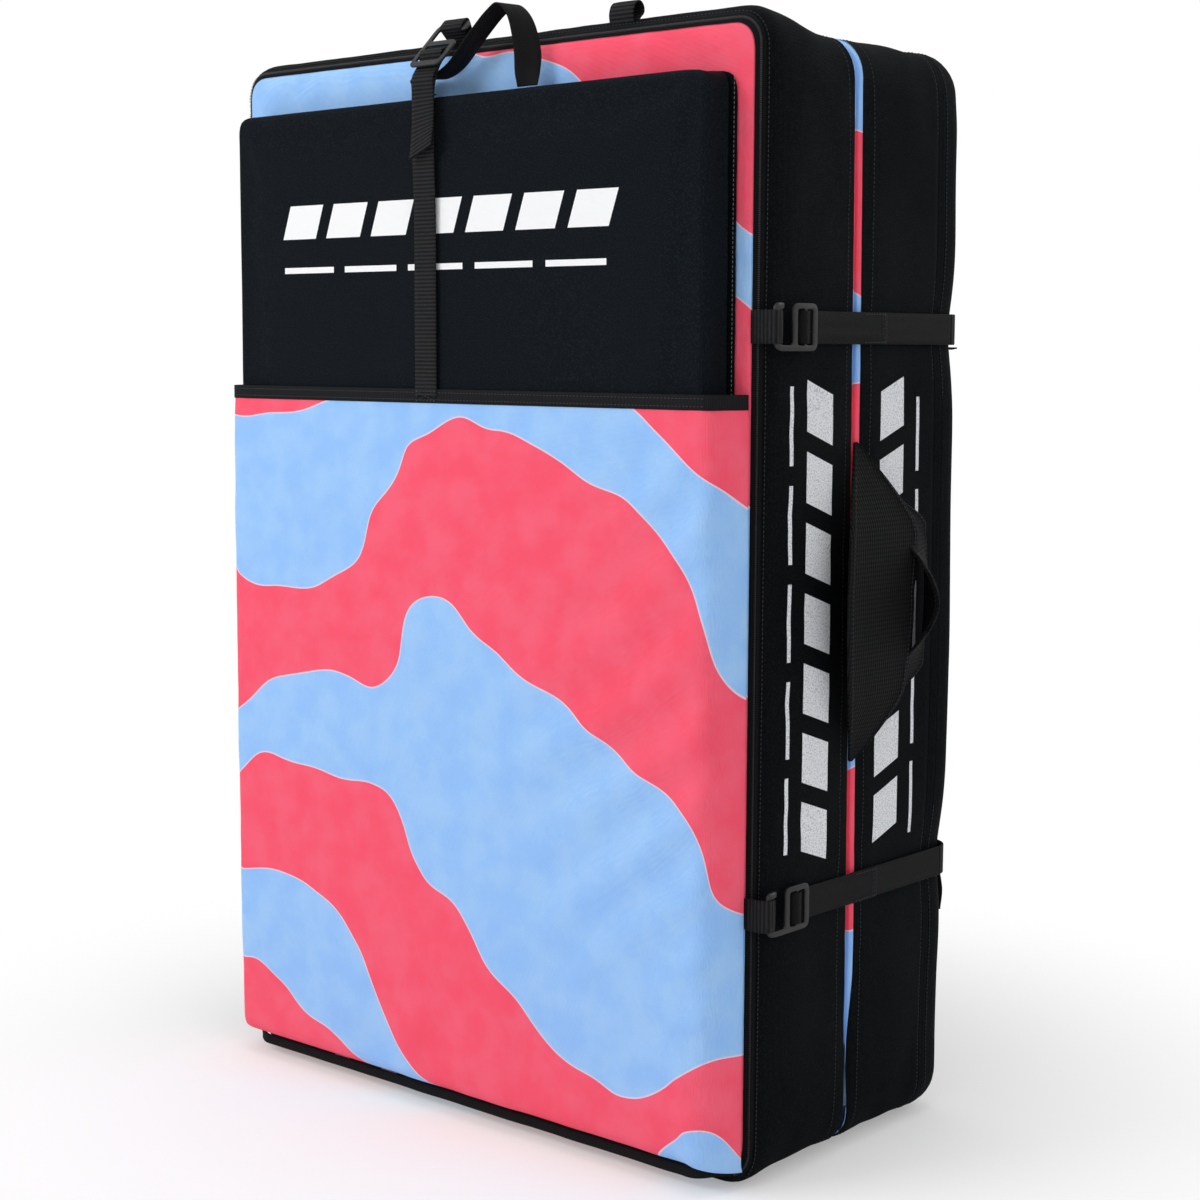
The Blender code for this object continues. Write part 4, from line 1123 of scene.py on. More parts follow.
def hookOutlines():
    low, high = -hook["height"] / 2, hook["height"] / 2
    slotHeight = strap["width"] + 0.002
    arm = (hook["height"] - slotHeight) / 2
    left, right = -hookFrame / 2, hookFrame / 2
    far = right + hook["reach"]
    inner = far - hook["hookBar"]
    outer = [(left, low, 0.008), (right, low, 0.008), (right, high - arm, 0.0045),
             (inner, high - arm, 0.0055), (inner, low + arm + 0.001, 0.002),
             (inner - hook["tip"], low + arm, 0.0022),
             (inner - hook["tip"], low, 0.0022), (far, low, 0.007), (far, high, 0.013),
             (left, high, 0.008)]
    return [outer] + slotPair(hook["bar"], hook["slot"], slotHeight, 0.002)


def threadedPath(tail, standing, bar, slot, offset):
    # A strap's line through a buckle: its tail, over the centre bar, then the standing part
    second = -offset - layerPitch
    return [(-tail, -offset), (-bar / 2 - slot * 0.65, -offset), (-bar / 2 - slot * 0.32, 0),
            (-bar / 2 - slot * 0.05, offset), (bar / 2 + slot * 0.05, offset), (bar / 2 + slot * 0.32, 0),
            (bar / 2 + slot * 0.42, -offset - layerPitch * 0.4), (bar / 2 + slot * 0.15, second),
            (-bar / 2 - slot * 0.6, second), (-standing, second)]


def framed(place, path, width):
    across = place.to_3x3() @ Vector((0, width / 2, 0))
    return [(place @ Vector((along, 0, height)), across) for along, height in path]


def barPath(shares):
    return [(hookBarStart + bar * hook["hookBar"] + along * layerOffset, up * layerOffset)
            for bar, along, up in shares]


def edgePoint(angle, standOff):
    # Across the outer edge: distance in from the side, and distance in from the face
    reach = pad["outerEdge"] + standOff
    return pad["outerEdge"] - reach * math.sin(angle), pad["outerEdge"] - reach * math.cos(angle)


closure = {"levels": (("upper", 0.795), ("lower", 0.262)), "hookY": -0.095,
           "pivotY": rearDepth - pad["outerEdge"], "doubled": 0.135,
           "adjusterInset": 0.060, "tail": 0.045, "tailDrop": 0.020, "tailLift": 0.020,
           "buckleLength": 0.034, "buckleThickness": 0.004, "buckleSlot": 0.008, "buckleBar": 0.004}
sideLoop = [(1, 0.4, -1), (0, 0, -1), (0, -0.75, -0.6), (0, -1, 0), (0, -0.75, 0.6), (0, 0, 1), (1, 0.4, 1)]
topLoop = [(0, -1, -0.5), (0, -1, 0.4), (0, -0.4, 1), (1, 0.4, 1), (1, 1, 0.4), (1, 1, -0.5)]
stitchRows = {}


def sew(body, points, thread="thread"):
    # Notes a row of stitches that lies along these points
    stitchRows.setdefault((body, thread), []).append([Vector(p) for p in points])


def sewBox(body, place, length, width, thread="thread", cross=True):
    # A box of stitches with a cross in it, flat in a frame
    corners = [Vector((a * length / 2, b * width / 2, 0)) for a, b in ((-1, -1), (1, -1), (1, 1), (-1, 1))]
    for a, b in zip(corners, corners[1:] + corners[:1]):
        sew(body, [place @ a, place @ b], thread)
    if cross:
        sew(body, [place @ corners[0], place @ corners[2]], thread)
        sew(body, [place @ corners[1], place @ corners[3]], thread)


def buildClosure(level, z):
    standOff = pad["seamGap"] + strap["slip"] + strap["thickness"] / 2
    strapX = sideX + standOff
    hookX = strapX + layerPitch + layerOffset
    place = frameAt((hookX, closure["hookY"], z), (0, -1, 0), (1, 0, 0))
    keep(hookPlate(level + "Hook", place), level + "_closure", level + "_hook")
    path = threadedPath(closure["doubled"], closure["pivotY"] - closure["hookY"], hook["bar"], hook["slot"],
                        layerOffset)
    keep(twilled(level + "Strap", framed(place, path, strap["width"])), level + "_closure", level + "_strap")
    doubleEnd = closure["hookY"] + closure["doubled"]
    outer = strapX + layerPitch + strap["thickness"] / 2 + 0.0001
    for y in (doubleEnd - 0.004, doubleEnd - 0.007):
        sew(level + "_closure", [(outer, y, z - 0.013), (outer, y, z + 0.013)])
    for edge in (z - 0.013, z + 0.013):
        sew(level + "_closure", [(outer, doubleEnd - 0.004, edge), (outer, doubleEnd - 0.035, edge)])

    # The loop comes out from under the zip tape and lies round the edge to the hook's open bar
    half = Vector((0, 0, strap["width"] / 2))
    sections = []
    for angle, lift in ((22, -0.0020), (32, 0.0)):
        inset, depth = edgePoint(math.radians(angle), pad["seamGap"] + strap["thickness"] / 2 + lift)
        sections.append((Vector((sideX - inset, -halfDepth + depth, z)), half))
    sections += [(place @ Vector((a, 0, v)), half) for a, v in barPath(sideLoop)]
    for angle, lift in ((32, layerPitch), (22, -0.0018)):
        inset, depth = edgePoint(math.radians(angle), pad["seamGap"] + strap["thickness"] / 2 + lift)
        sections.append((Vector((sideX - inset, -halfDepth + depth, z)), half))
    keep(ribbed(level + "FrontLoop", sections), "front_half", level + "_front_loop")

    # Round the rear edge to an adjuster on the back, with the loose tail beside the edge
    backOff = closure["buckleThickness"] / 2 + strap["gap"] + strap["thickness"] / 2 + layerPitch
    adjusterX = sideX - pad["outerEdge"] - closure["adjusterInset"]
    adjuster = frameAt((adjusterX, rearDepth + standOff + backOff, z), (-1, 0, 0), (0, 1, 0))
    outlines = [box2d(0, 0, closure["buckleLength"], 0.041, 0.004)]
    outlines += slotPair(closure["buckleBar"], closure["buckleSlot"], strap["width"] + 0.002, 0.0015)
    buckle = plate(level + "Adjuster", outlines, closure["buckleThickness"], adjuster, 0.0012,
                   finishes["buckle"])
    keep(buckle, "rear_half", level + "_adjuster")
    offset = backOff - layerPitch
    path = threadedPath(closure["buckleLength"] * 0.7, closure["adjusterInset"], closure["buckleBar"],
                        closure["buckleSlot"], offset)
    sections = framed(adjuster, path, strap["width"])
    root = sections[0][0]
    if level == "upper":
        # The upper tail turns on edge and sticks out past the rear edge
        away = Vector((math.sin(math.radians(41)), -math.cos(math.radians(41)), 0)) * strap["width"] / 2
        tail = [(root + Vector((0.046, 0.008, -0.018)), away), (root + Vector((0.036, 0.006, -0.018)), away),
                (root + Vector((0.022, 0.004, -0.011)), away * 0.6 + half * 0.8),
                (root + Vector((0.010, 0.001, -0.003)), half)]
    else:
        # The lower tail hangs down behind
        tail = [(root + Vector((0.030, 0.006, -0.062)), Vector((0.0148, 0, 0.002))),
                (root + Vector((0.031, 0.008, -0.040)), Vector((0.0140, 0, 0.005))),
                (root + Vector((0.026, 0.007, -0.018)), Vector((0.0090, 0, 0.012))),
                (root + Vector((0.010, 0.001, -0.003)), half)]
    base = []
    for angle in (10, 35, 60, 85):
        inset, depth = edgePoint(math.radians(angle), standOff)
        base.append((Vector((sideX - inset, rearDepth - depth, z)), half))
    base.append((Vector((strapX, closure["pivotY"] + strap["thickness"] / 2 + 0.0001, z)), half))
    run = [(c, half) for c, h in sections]
    keep(twilled(level + "StrapBase", tail + run + base), "rear_half", level + "_strap_base")


for level, z in closure["levels"]:
    buildClosure(level, z)
print("stage: closure straps made")

retaining = {"x": -0.027, "rise": 0.021, "lean": math.radians(45), "tail": 0.080, "offset": 0.0215}


def buildRetaining():
    x = retaining["x"]
    strapY = pocketFrontY - pad["seamGap"] - strap["thickness"] / 2
    pivotZ = pocket["top"] - pocket["binding"] / 2
    bendZ = smallTop + retaining["rise"]
    bend = Vector((x, strapY, bendZ))
    along = Vector((0, math.sin(retaining["lean"]), math.cos(retaining["lean"])))
    outward = Vector((0, -math.cos(retaining["lean"]), math.sin(retaining["lean"])))
    place = frameAt(bend + along * retaining["offset"] + outward * (layerOffset + layerPitch), along, outward)
    keep(hookPlate("retainingHook", place), "retaining_closure", "retaining_hook")
    path = threadedPath(retaining["offset"] * 0.85, retaining["offset"], hook["bar"], hook["slot"],
                        layerOffset)
    half = place.to_3x3() @ Vector((0, strap["width"] / 2, 0))
    frontY = strapY - layerPitch * 1.3
    tailZ = bendZ - retaining["tail"]
    slant = half - Vector((0, 0, 0.006))
    tail = [(Vector((x + 0.0022, frontY - 0.0060, tailZ + 0.002)), slant),
            (Vector((x + 0.0020, frontY - 0.0042, tailZ + 0.012)), slant),
            (Vector((x + 0.0012, frontY - 0.0014, tailZ + 0.030)), half - Vector((0, 0, 0.003))),
            (Vector((x, frontY, bendZ - 0.020)), half), (Vector((x, frontY, bendZ - 0.006)), half)]
    standing = [(Vector((x, strapY, bendZ - 0.012)), half), (Vector((x, strapY, (bendZ + pivotZ) / 2)), half),
                (Vector((x, strapY, pivotZ)), half)]
    keep(ribbed("retainingStrap", tail + framed(place, path, strap["width"])[1:-1] + standing),
         "retaining_closure", "retaining_strap")
    start = edgePoint(math.radians(54), -0.0030)
    end = edgePoint(math.radians(60), -0.0030)
    sections = [(Vector((x, -halfDepth + start[1], padHeight - start[0])), half)]
    sections += [(place @ Vector((a, 0, v)), half) for a, v in barPath(topLoop)]
    sections.append((Vector((x, -halfDepth + end[1], padHeight - end[0])), half))
    loop = ribbed("retainingLoop", sections)
    keep(loop, "front_half", "retaining_loop")
    sewBox("retaining_closure", frameAt((x, strapY - strap["thickness"] / 2, pivotZ), (1, 0, 0), (0, -1, 0)),
           0.024, 0.009)
    return loop


retainingLoop = buildRetaining()

haul = {"x": 0.178, "rise": 0.024, "depth": 0.014}
haulLine = [(0, 0), (0, 0.12), (-0.10, 0.55), (0.15, 0.90), (0.60, 1.0), (0.95, 0.85), (1.0, 0.60),
            (0.70, 0.42), (0.34, 0.14), (0.20, -0.02)]


def buildHaulLoop():
    half = Vector((strap["width"] / 2, 0, 0))
    inset, depth = edgePoint(math.radians(55), -0.0030)
    foot = Vector((haul["x"], -halfDepth + depth, padHeight - inset))
    sections = [(foot + Vector((0, y * haul["depth"], z * haul["rise"])), half) for y, z in haulLine]
    return ribbed("haulLoop", sections)


keep(buildHaulLoop(), "front_half", "haul_loop")

carry = {"left": -0.045, "right": 0.088, "rise": 0.078, "bulge": 0.018, "pass": 0.0175, "width": 0.026}
# Shares of the bulge, the span, the pass and the rise, then the webbing's turn in degrees
carryLine = [(0, 0, 0, 0, 0), (-0.7, 0, 0.40, 0, -40), (-1, 0, 0.72, 0, -65), (-0.3, 0, 1, 0, -88),
             (0, 0.12, 1, 0, -90), (0, 0.28, 0, 0.33, -90), (0, 0.50, 0, 0.66, -92), (0, 0.70, 0, 0.93, -95),
             (0, 0.80, 0, 1, -100), (0, 0.92, 0, 0.84, -112), (0, 1, 0, 0.42, -135), (0, 1, 0, 0.16, -160),
             (0, 1, 0, 0, -180)]


def buildCarryHandle():
    pivotZ = smallTop + strap["thickness"] / 2 + 0.0001
    pivotY = (smallBackY + smallFrontY) / 2
    sections = []
    for bulge, along, low, high, turn in carryLine:
        x = carry["left"] + bulge * carry["bulge"] + along * (carry["right"] - carry["left"])
        height = low * carry["pass"] + high * carry["rise"]
        angle = math.radians(turn)
        half = carry["width"] / 2 * Vector((math.cos(angle), math.sin(angle), 0))
        sections.append((Vector((x, pivotY, pivotZ + height)), half))
    return band("carryHandle", sections, strap["thickness"], finishes["twill"], 0.0015)


keep(buildCarryHandle(), "carry_handle", "small_pad_handle")
print("stage: loops and small straps made")

grab = {"low": 0.387, "high": 0.689, "width": 0.090, "tip": 0.003, "thickness": 0.0022, "hem": 0.0034,
        "standOff": 0.0021, "frontBow": 0.033, "frontShift": 0.0095, "rearBow": 0.034, "rearShift": 0.070,
        "rearTwist": math.radians(41), "rearInset": 0.030, "taper": 0.20, "wide": 0.0195, "root": 0.008,
        "shoulder": 0.014, "shoulderAt": 0.735}
hemProfile = [(-0.985, 1.0), (-0.93, 1.5), (-0.86, 1.5), (-0.83, 0.9), (-0.4, 0.9), (0, 0.9), (0.4, 0.9),
              (0.83, 0.9), (0.86, 1.5), (0.93, 1.5), (0.985, 1.0)]


def buildGrabHandle(name, side, low, high, bow, shiftY, twist, crest):
    tipX = sideX + grab["standOff"]
    tipY = side * (pad["gap"] / 2 + pad["landingEdge"])
    halfWidth = grab["width"] / 2
    frontMid = (bow + halfWidth * math.sin(twist), shiftY - halfWidth * math.cos(twist))
    backMid = (bow - halfWidth * math.sin(twist), shiftY + halfWidth * math.cos(twist))
    tipHalf = Vector((0, grab["tip"] / 2, 0))
    sections = []
    steps = 28
    for i in range(steps + 1):
        share = i / steps
        swell = math.sin(math.pi * share)
        taper = 1 - grab["shoulderAt"] if side < 0 and share > 0.5 else grab["taper"]
        full = min(1, swell / math.sin(math.pi * taper))
        tip = Vector((tipX, tipY - side * grab["root"], low + (high - low) * share))
        narrow = tipHalf * (1 - full)
        # The band stays broad between its folded ends, with a sharp shoulder on the front one
        flat = swell if side < 0 else full ** 0.8
        shoulder = grab["shoulder"] * max(0, 1 - abs(share - grab["shoulderAt"]) / 0.2) if side < 0 else 0
        out = (frontMid[1] - grab["wide"] * (side < 0)) * flat
        front = tip + Vector((frontMid[0] * swell ** crest, out, 0))
        back = tip + Vector((backMid[0] * swell ** 0.7, backMid[1] * full + shoulder, 0)) + narrow
        front -= narrow
        sections.append(((front + back) / 2, (back - front) / 2))
    return band(name, sections, grab["thickness"], finishes["handle"], 0.004, 0.0, hemProfile), sections


frontHandle, frontSections = buildGrabHandle("frontHandle", -1, grab["low"], grab["high"], grab["frontBow"],
                                             grab["frontShift"], 0, 1)
rearHandle, rearSections = buildGrabHandle("rearHandle", 1, grab["low"] + grab["rearInset"],
                                           grab["high"] - grab["rearInset"], grab["rearBow"],
                                           grab["rearShift"], grab["rearTwist"], 3)
keep(frontHandle, "front_grab", "front_handle")
keep(rearHandle, "rear_grab", "rear_handle")
print("stage: grab handles made")

# Binding tape over the pocket's top edge, following the same line across the pad


def buildPocketBinding():
    midZ = pocket["top"] - pocket["binding"] / 2
    sections = []
    columns = [-pocketSeamX + 0.0005, (pocketLeft - pocketSeamX) / 2, pocketLeft]
    columns += [pocketLeft + (pocketRight - pocketLeft) * i / 30 for i in range(1, 30)]
    columns += [pocketRight, (pocketRight + pocketSeamX) / 2, pocketSeamX - 0.0005]
    for x in columns:
        place = pocketPlace(x, pocket["top"] - 0.004)
        sections.append((Vector((x, place.y, midZ)), Vector((0, 0, pocket["binding"] / 2))))
    return band("pocketBinding", sections, pocket["bindingThickness"], finishes["binding"], 0.004)


def buildFootTape():
    # The zip tape of the lower seam shows as a dark line under the pocket
    halfHigh = Vector((0, 0.0012, (footTape["high"] - footTape["low"]) / 2))
    midZ = (footTape["high"] + footTape["low"]) / 2
    sections = []
    for i in range(61):
        x = (pocketSeamX - 0.006) * (i / 30 - 1)
        ends = 1 - smoothStep(0.30, 0.335, abs(x))
        y = pocketSeamY + (pocketPlace(x, 0.0235).y - pocketSeamY) * (0.25 + 0.70 * ends)
        sections.append((Vector((x, y - 0.0022, midZ - 0.004 * ends)), halfHigh))
    return band("footTape", sections, footTape["thickness"], finishes["tape"], 0.005)


keep(buildFootTape(), "front_half")
pocketBinding = buildPocketBinding()
keep(pocketBinding, "front_half", "pocket_binding")
for z in (pocket["top"] - 0.0035, pocket["top"] - 0.0105):
    row = []
    for i in range(81):
        x = pocketLeft + 0.004 + (pocketRight - pocketLeft - 0.008) * i / 80
        y = pocketPlace(x, pocket["top"] - 0.004).y - pocket["bindingThickness"] / 2 - 0.0001
        row.append((x, y, z))
    sew("front_half", row)

# Fabric hinge down the closed side
hinge = {"thickness": 0.0016, "overlap": 0.015, "endInset": 0.05}


def buildHinge():
    width = pad["gap"] + 2 * pad["landingEdge"] + 2 * hinge["overlap"]
    x = -sideX - pad["seamGap"] - hinge["thickness"] / 2
    half = Vector((0, width / 2, 0))
    sections = [(Vector((x, 0, z)), half) for z in
                [hinge["endInset"] + (padHeight - 2 * hinge["endInset"]) * i / 40 for i in range(41)]]
    profile = [(-0.98, 1)] + [(f / 8, 1) for f in range(-7, 8)] + [(0.98, 1)]
    obj = band("hingeStrip", sections, hinge["thickness"], finishes["back"], 0.008, 0.0, profile)
    for side, body in ((-1, "front_half"), (1, "rear_half")):
        for inset in (0.004, 0.008):
            y = side * (width / 2 - inset)
            sew(body, [(x - hinge["thickness"] / 2 - 0.0002, y, hinge["endInset"] + 0.004),
                       (x - hinge["thickness"] / 2 - 0.0002, y, padHeight - hinge["endInset"] - 0.004)])
    return obj


hingeStrip = buildHinge()

# Zip sliders and their pulls at the bottom front edge
zipper = {"sliderLength": 0.012, "sliderWidth": 0.009, "sliderHeight": 0.0035, "angle": math.radians(38),
          "pullLength": 0.024, "pullWidth": 0.007, "pullThickness": 0.0012,
          "sliders": (("left", -0.218, 1), ("right", -0.121, -1))}


def buildSlider(side, x, away):
    inset, depth = edgePoint(zipper["angle"], pad["seamGap"] + zipper["sliderHeight"] / 2)
    outward = Vector((0, -math.cos(zipper["angle"]), -math.sin(zipper["angle"])))
    place = frameAt(Vector((x, -halfDepth + depth, inset)), (away, 0, 0), outward)
    length, width, height = zipper["sliderLength"], zipper["sliderWidth"], zipper["sliderHeight"]
    body = [(-length / 2, -width * 0.36, 0.002), (-length * 0.1, -width / 2, 0.003),
            (length / 2, -width / 2, 0.0025), (length / 2, width / 2, 0.0025),
            (-length * 0.1, width / 2, 0.003), (-length / 2, width * 0.36, 0.002)]
    base, top = (plate(side + "Slider" + part, [body], height * 0.36,
                       place @ Matrix.Translation((0, 0, height * rise)), bevel, finishes["slider"])
                 for part, rise, bevel in (("Base", -0.32, 0.0004), ("Top", 0.30, 0.0005)))
    web = plate(side + "SliderWeb", [box2d(length * 0.12, 0, length * 0.3, width * 0.3, 0.001)], height * 0.5,
                place, 0.0002, finishes["slider"])
    keep(joined(side + "Slider", [base, top, web]), side + "_slider", side + "_zip_slider")
    lift = height / 2 + pad["seamGap"] + zipper["pullThickness"] / 2
    pullPlace = place @ Matrix.Translation((0, 0, lift))
    length, width = zipper["pullLength"] - zipper["pullThickness"] / 2, zipper["pullWidth"]
    outer = [(0, -width * 0.32, 0.0012), (length * 0.35, -width * 0.30, 0.003),
             (length * 0.62, -width / 2, 0.003), (length, -width / 2, 0.0032),
             (length, width / 2, 0.0032), (length * 0.62, width / 2, 0.003),
             (length * 0.35, width * 0.30, 0.003), (0, width * 0.32, 0.0012)]
    hole = box2d(length - 0.0052, 0, 0.0052, 0.0036, 0.0016)
    eye = box2d(0.0036, 0, 0.0030, 0.0022, 0.0008)
    pull = plate(side + "Pull", [outer, hole, eye], zipper["pullThickness"], pullPlace, 0.0004,
                 finishes["bright"])
    keep(pull, side + "_pull", side + "_zip_pull")


for side, x, away in zipper["sliders"]:
    buildSlider(side, x, away)
print("stage: zip sliders made")

# The carrying harness on the back
harness = {"yokeWidth": 0.240, "yokeHeight": 0.060, "yokeThickness": 0.003, "yokeDrop": 0.187,
           "length": 0.350, "width": 0.062, "thickness": 0.012, "topX": 0.068, "spread": 0.050,
           "curve": 1.6, "narrowShare": 0.75, "buckle": 0.034, "buckleThickness": 0.004,
           "slot": 0.008, "bar": 0.004, "webbing": 0.025, "tail": 0.110, "anchor": 0.045,
           "anchorX": 0.178, "anchorReach": 0.1475, "beltDrop": 0.067, "beltRootX": 0.210, "beltWidth": 0.038,
           "beltThickness": 0.003, "clip": 0.040, "clipThickness": 0.009, "clipGap": 0.0047,
           "patch": 0.003, "patchLength": 0.050, "patchOverlap": 0.012}
yokeZ = padHeight - harness["yokeDrop"]
shoulderTopZ = yokeZ - harness["yokeHeight"] / 2 - 0.0005
anchorZ = shoulderTopZ - harness["length"] - harness["anchorReach"]
beltZ = anchorZ - harness["beltDrop"]
backFace = rearDepth + pad["seamGap"]


def sheetPlate(name, corners, thickness, place, material):
    # A stitched cloth patch with a soft rim
    return plate(name, [corners], thickness, place, thickness * 0.42, material, 6)


def ringRow(body, place, length, width, inset, thread="thread"):
    long, wide = length / 2 - inset, width / 2 - inset
    corners = [(-long, -wide), (long, -wide), (long, wide), (-long, wide)]
    for a, b in zip(corners, corners[1:] + corners[:1]):
        sew(body, [place @ Vector((*a, 0)), place @ Vector((*b, 0))], thread)


yokePlace = frameAt((0, backFace + harness["yokeThickness"] / 2, yokeZ), (-1, 0, 0), (0, 1, 0))
yoke = sheetPlate("harnessYoke", box2d(0, 0, harness["yokeWidth"], harness["yokeHeight"], 0.010),
                  harness["yokeThickness"], yokePlace, finishes["mesh"])
keep(yoke, "rear_half", "harness_yoke")
onYoke = yokePlace @ Matrix.Translation((0, 0, harness["yokeThickness"] / 2 + 0.0001))
ringRow("rear_half", onYoke, harness["yokeWidth"], harness["yokeHeight"], 0.004, "paleThread")
ringRow("rear_half", onYoke, harness["yokeWidth"], harness["yokeHeight"], 0.008)
for x in (-0.068, 0.068):
    sewBox("rear_half", onYoke @ Matrix.Translation((x, 0, 0)), 0.050, 0.030)

padProfile = [(-0.97, 0.22), (-0.92, 0.30), (-0.89, 0.24), (-0.80, 0.62), (-0.6, 0.90), (-0.3, 1.0), (0, 1.0),
              (0.3, 1.0), (0.6, 0.90), (0.80, 0.62), (0.89, 0.24), (0.92, 0.30), (0.97, 0.22)]


def buildShoulder(side, sign):
    level = backFace + harness["thickness"] / 2
    body = side + "_shoulder"
    sections = []
    steps = 10
    for i in range(steps + 1):
        share = i / steps
        x = harness["topX"] + harness["spread"] * share ** harness["curve"]
        narrow = max(0, share - harness["narrowShare"]) / (1 - harness["narrowShare"])
        width = harness["width"] - (harness["width"] - harness["buckle"]) * narrow
        sections.append((Vector((sign * x, level, shoulderTopZ - harness["length"] * share)),
                         Vector((width / 2, 0, 0))))
    cushion = band(side + "ShoulderPad", sections, harness["thickness"] * 0.96, finishes["mesh"], 0.006, 0.0,
                   padProfile)
    # The ends close softly, and quilting lines cross the pad
    low = shoulderTopZ - harness["length"]
    for vert in cushion.data.vertices:
        ends = min(vert.co.z - low, shoulderTopZ - vert.co.z)
        soft = 0.35 + 0.65 * smoothStep(0, 0.012, ends)
        quilt = 1 - 0.30 * max(bell((vert.co.z - low) % 0.07, 0.035, 0.004), 0) * smoothStep(0.01, 0.03, ends)
        vert.co.y = level + (vert.co.y - level) * soft * quilt
    keep(cushion, body, side + "_shoulder_pad")
    end = sections[-1][0]
    anchor = Vector((sign * harness["anchorX"], level, anchorZ))
    along = (end - anchor).normalized()
    centre = end - along * (harness["buckle"] / 2 + pad["seamGap"]) - \
        Vector((0, 0, harness["buckle"] / 2 * abs(along.x)))
    place = frameAt(centre, along, (0, 1, 0))
    outlines = [box2d(0, 0, harness["buckle"], harness["buckle"], 0.004)]
    outlines += slotPair(harness["bar"], harness["slot"], harness["webbing"] + 0.002, 0.0015)
    lock = plate(side + "LadderLock", outlines, harness["buckleThickness"], place, 0.0012, finishes["buckle"])
    keep(lock, body, side + "_ladder_lock")
    offset = harness["buckleThickness"] / 2 + strap["gap"] + strap["thickness"] / 2
    reach = (centre - anchor).length - harness["anchor"] / 2 - pad["seamGap"]
    path = threadedPath(harness["tail"], reach, harness["bar"], harness["slot"], offset)
    webbing = twilled(side + "ShoulderWebbing", framed(place, path, harness["webbing"]))
    patchPlace = frameAt((anchor.x, backFace + harness["patch"] / 2, anchor.z), along, (0, 1, 0))
    patch = sheetPlate(side + "LowerAnchor", box2d(0, 0, harness["anchor"], harness["anchor"], 0.006),
                       harness["patch"], patchPlace, finishes["mesh"])
    keep(patch, "rear_half", side + "_lower_anchor")
    onPatch = patchPlace @ Matrix.Translation((0, 0, harness["patch"] / 2 + 0.0001))
    ringRow("rear_half", onPatch, harness["anchor"], harness["anchor"], 0.004)
    sewBox("rear_half", onPatch, 0.030, 0.024, "paleThread")
    return webbing, centre, anchor


shoulderWebbings = {side: buildShoulder(side, sign) for side, sign in (("left", -1), ("right", 1))}


def buildBelt(side, sign):
    level = backFace + harness["patch"] + pad["seamGap"] + harness["beltThickness"] / 2
    root = sign * harness["beltRootX"]
    length = harness["beltRootX"] - harness["clip"] - pad["seamGap"] - harness["clipGap"]
    body = side + "_belt"
    inward = frameAt((root, level, beltZ), (-sign, 0, 0), (0, 1, 0))
    half = Vector((0, 0, harness["beltWidth"] / 2))
    sections = [(inward @ Vector((length * i / 6, 0, 0)), half) for i in range(7)]
    belt = band(side + "WaistBelt", sections, harness["beltThickness"], finishes["twill"], 0.002)
    keep(belt, body, side + "_waist_belt")
    start = length + pad["seamGap"]
    wide = harness["beltWidth"] + 0.008
    clip = harness["clip"]
    if side == "left":
        outer = [(start, -wide / 2, 0.004), (start + clip * 0.45, -wide / 2, 0.01),
                 (start + clip, -wide * 0.42, 0.004), (start + clip, wide * 0.42, 0.004),
                 (start + clip * 0.45, wide / 2, 0.01), (start, wide / 2, 0.004)]
        windows = [box2d(start + clip * 0.62, way * wide * 0.34, clip * 0.32, wide * 0.10, 0.0015)
                   for way in (-1, 1)]
        slot = box2d(start + 0.006, 0, 0.004, harness["beltWidth"], 0.001)
        shell = plate("socketShell", [outer, slot] + windows, harness["clipThickness"], inward, 0.0018,
                      finishes["buckle"])
        core = plate("socketCore", [box2d(start + clip * 0.6, 0, clip * 0.62, wide * 0.74, 0.004)],
                     harness["clipThickness"] * 0.6, inward, 0.0012, finishes["buckle"])
        keep(joined("beltSocket", [shell, core]), body, "belt_socket")
    else:
        stem, reach = clip * 0.4, clip * 0.4 + 0.024
        narrow, finger = wide / 2 * 0.62, wide / 2 * 0.2
        outer = [(start, -wide / 2, 0.004), (start + stem, -wide / 2, 0.004), (start + stem, wide / 2, 0.004),
                 (start, wide / 2, 0.004)]
        slot = box2d(start + 0.005, 0, 0.004, harness["beltWidth"], 0.001)
        base = plate("plugBase", [outer, slot], 0.005, inward, 0.0012, finishes["buckle"])
        prongs = []
        for number, (low, high) in enumerate(((-narrow, -narrow + finger), (-finger / 2, finger / 2),
                                              (narrow - finger, narrow))):
            outline = box2d(start + (stem + reach) / 2 - 0.001, (low + high) / 2, reach - stem + 0.002,
                            high - low, 0.0015)
            prongs.append(plate("plugProng%d" % number, [outline], 0.0046, inward, 0.0010,
                                finishes["buckle"]))
        keep(joined("beltPlug", [base] + prongs), body, "belt_plug")
    patchX = root + sign * (harness["patchLength"] / 2 - harness["patchOverlap"])
    place = frameAt((patchX, backFace + harness["patch"] / 2, beltZ), (1, 0, 0), (0, 1, 0))
    patch = sheetPlate(side + "BeltPatch", box2d(0, 0, harness["patchLength"], harness["beltWidth"], 0.006),
                       harness["patch"], place, finishes["mesh"])
    keep(patch, "rear_half", side + "_belt_patch")
    ringRow("rear_half", place @ Matrix.Translation((0, 0, harness["patch"] / 2 + 0.0001)),
            harness["patchLength"], harness["beltWidth"], 0.004)


for side, sign in (("left", -1), ("right", 1)):
    buildBelt(side, sign)
print("stage: harness made")

# Seams: rows of stitches beside the sewn lines, laid onto the covers


def surfaceOf(*objects):
    bm = bmesh.new()
    for obj in objects:
        bm.from_mesh(obj.data)
    tree = BVHTree.FromBMesh(bm)
    bm.free()
    return tree


def laid(tree, points, lift):
    result = []
    for point in points:
        place, normal, index, distance = tree.find_nearest(Vector(point))
        result.append(place + normal * lift if place else Vector(point))
    return result


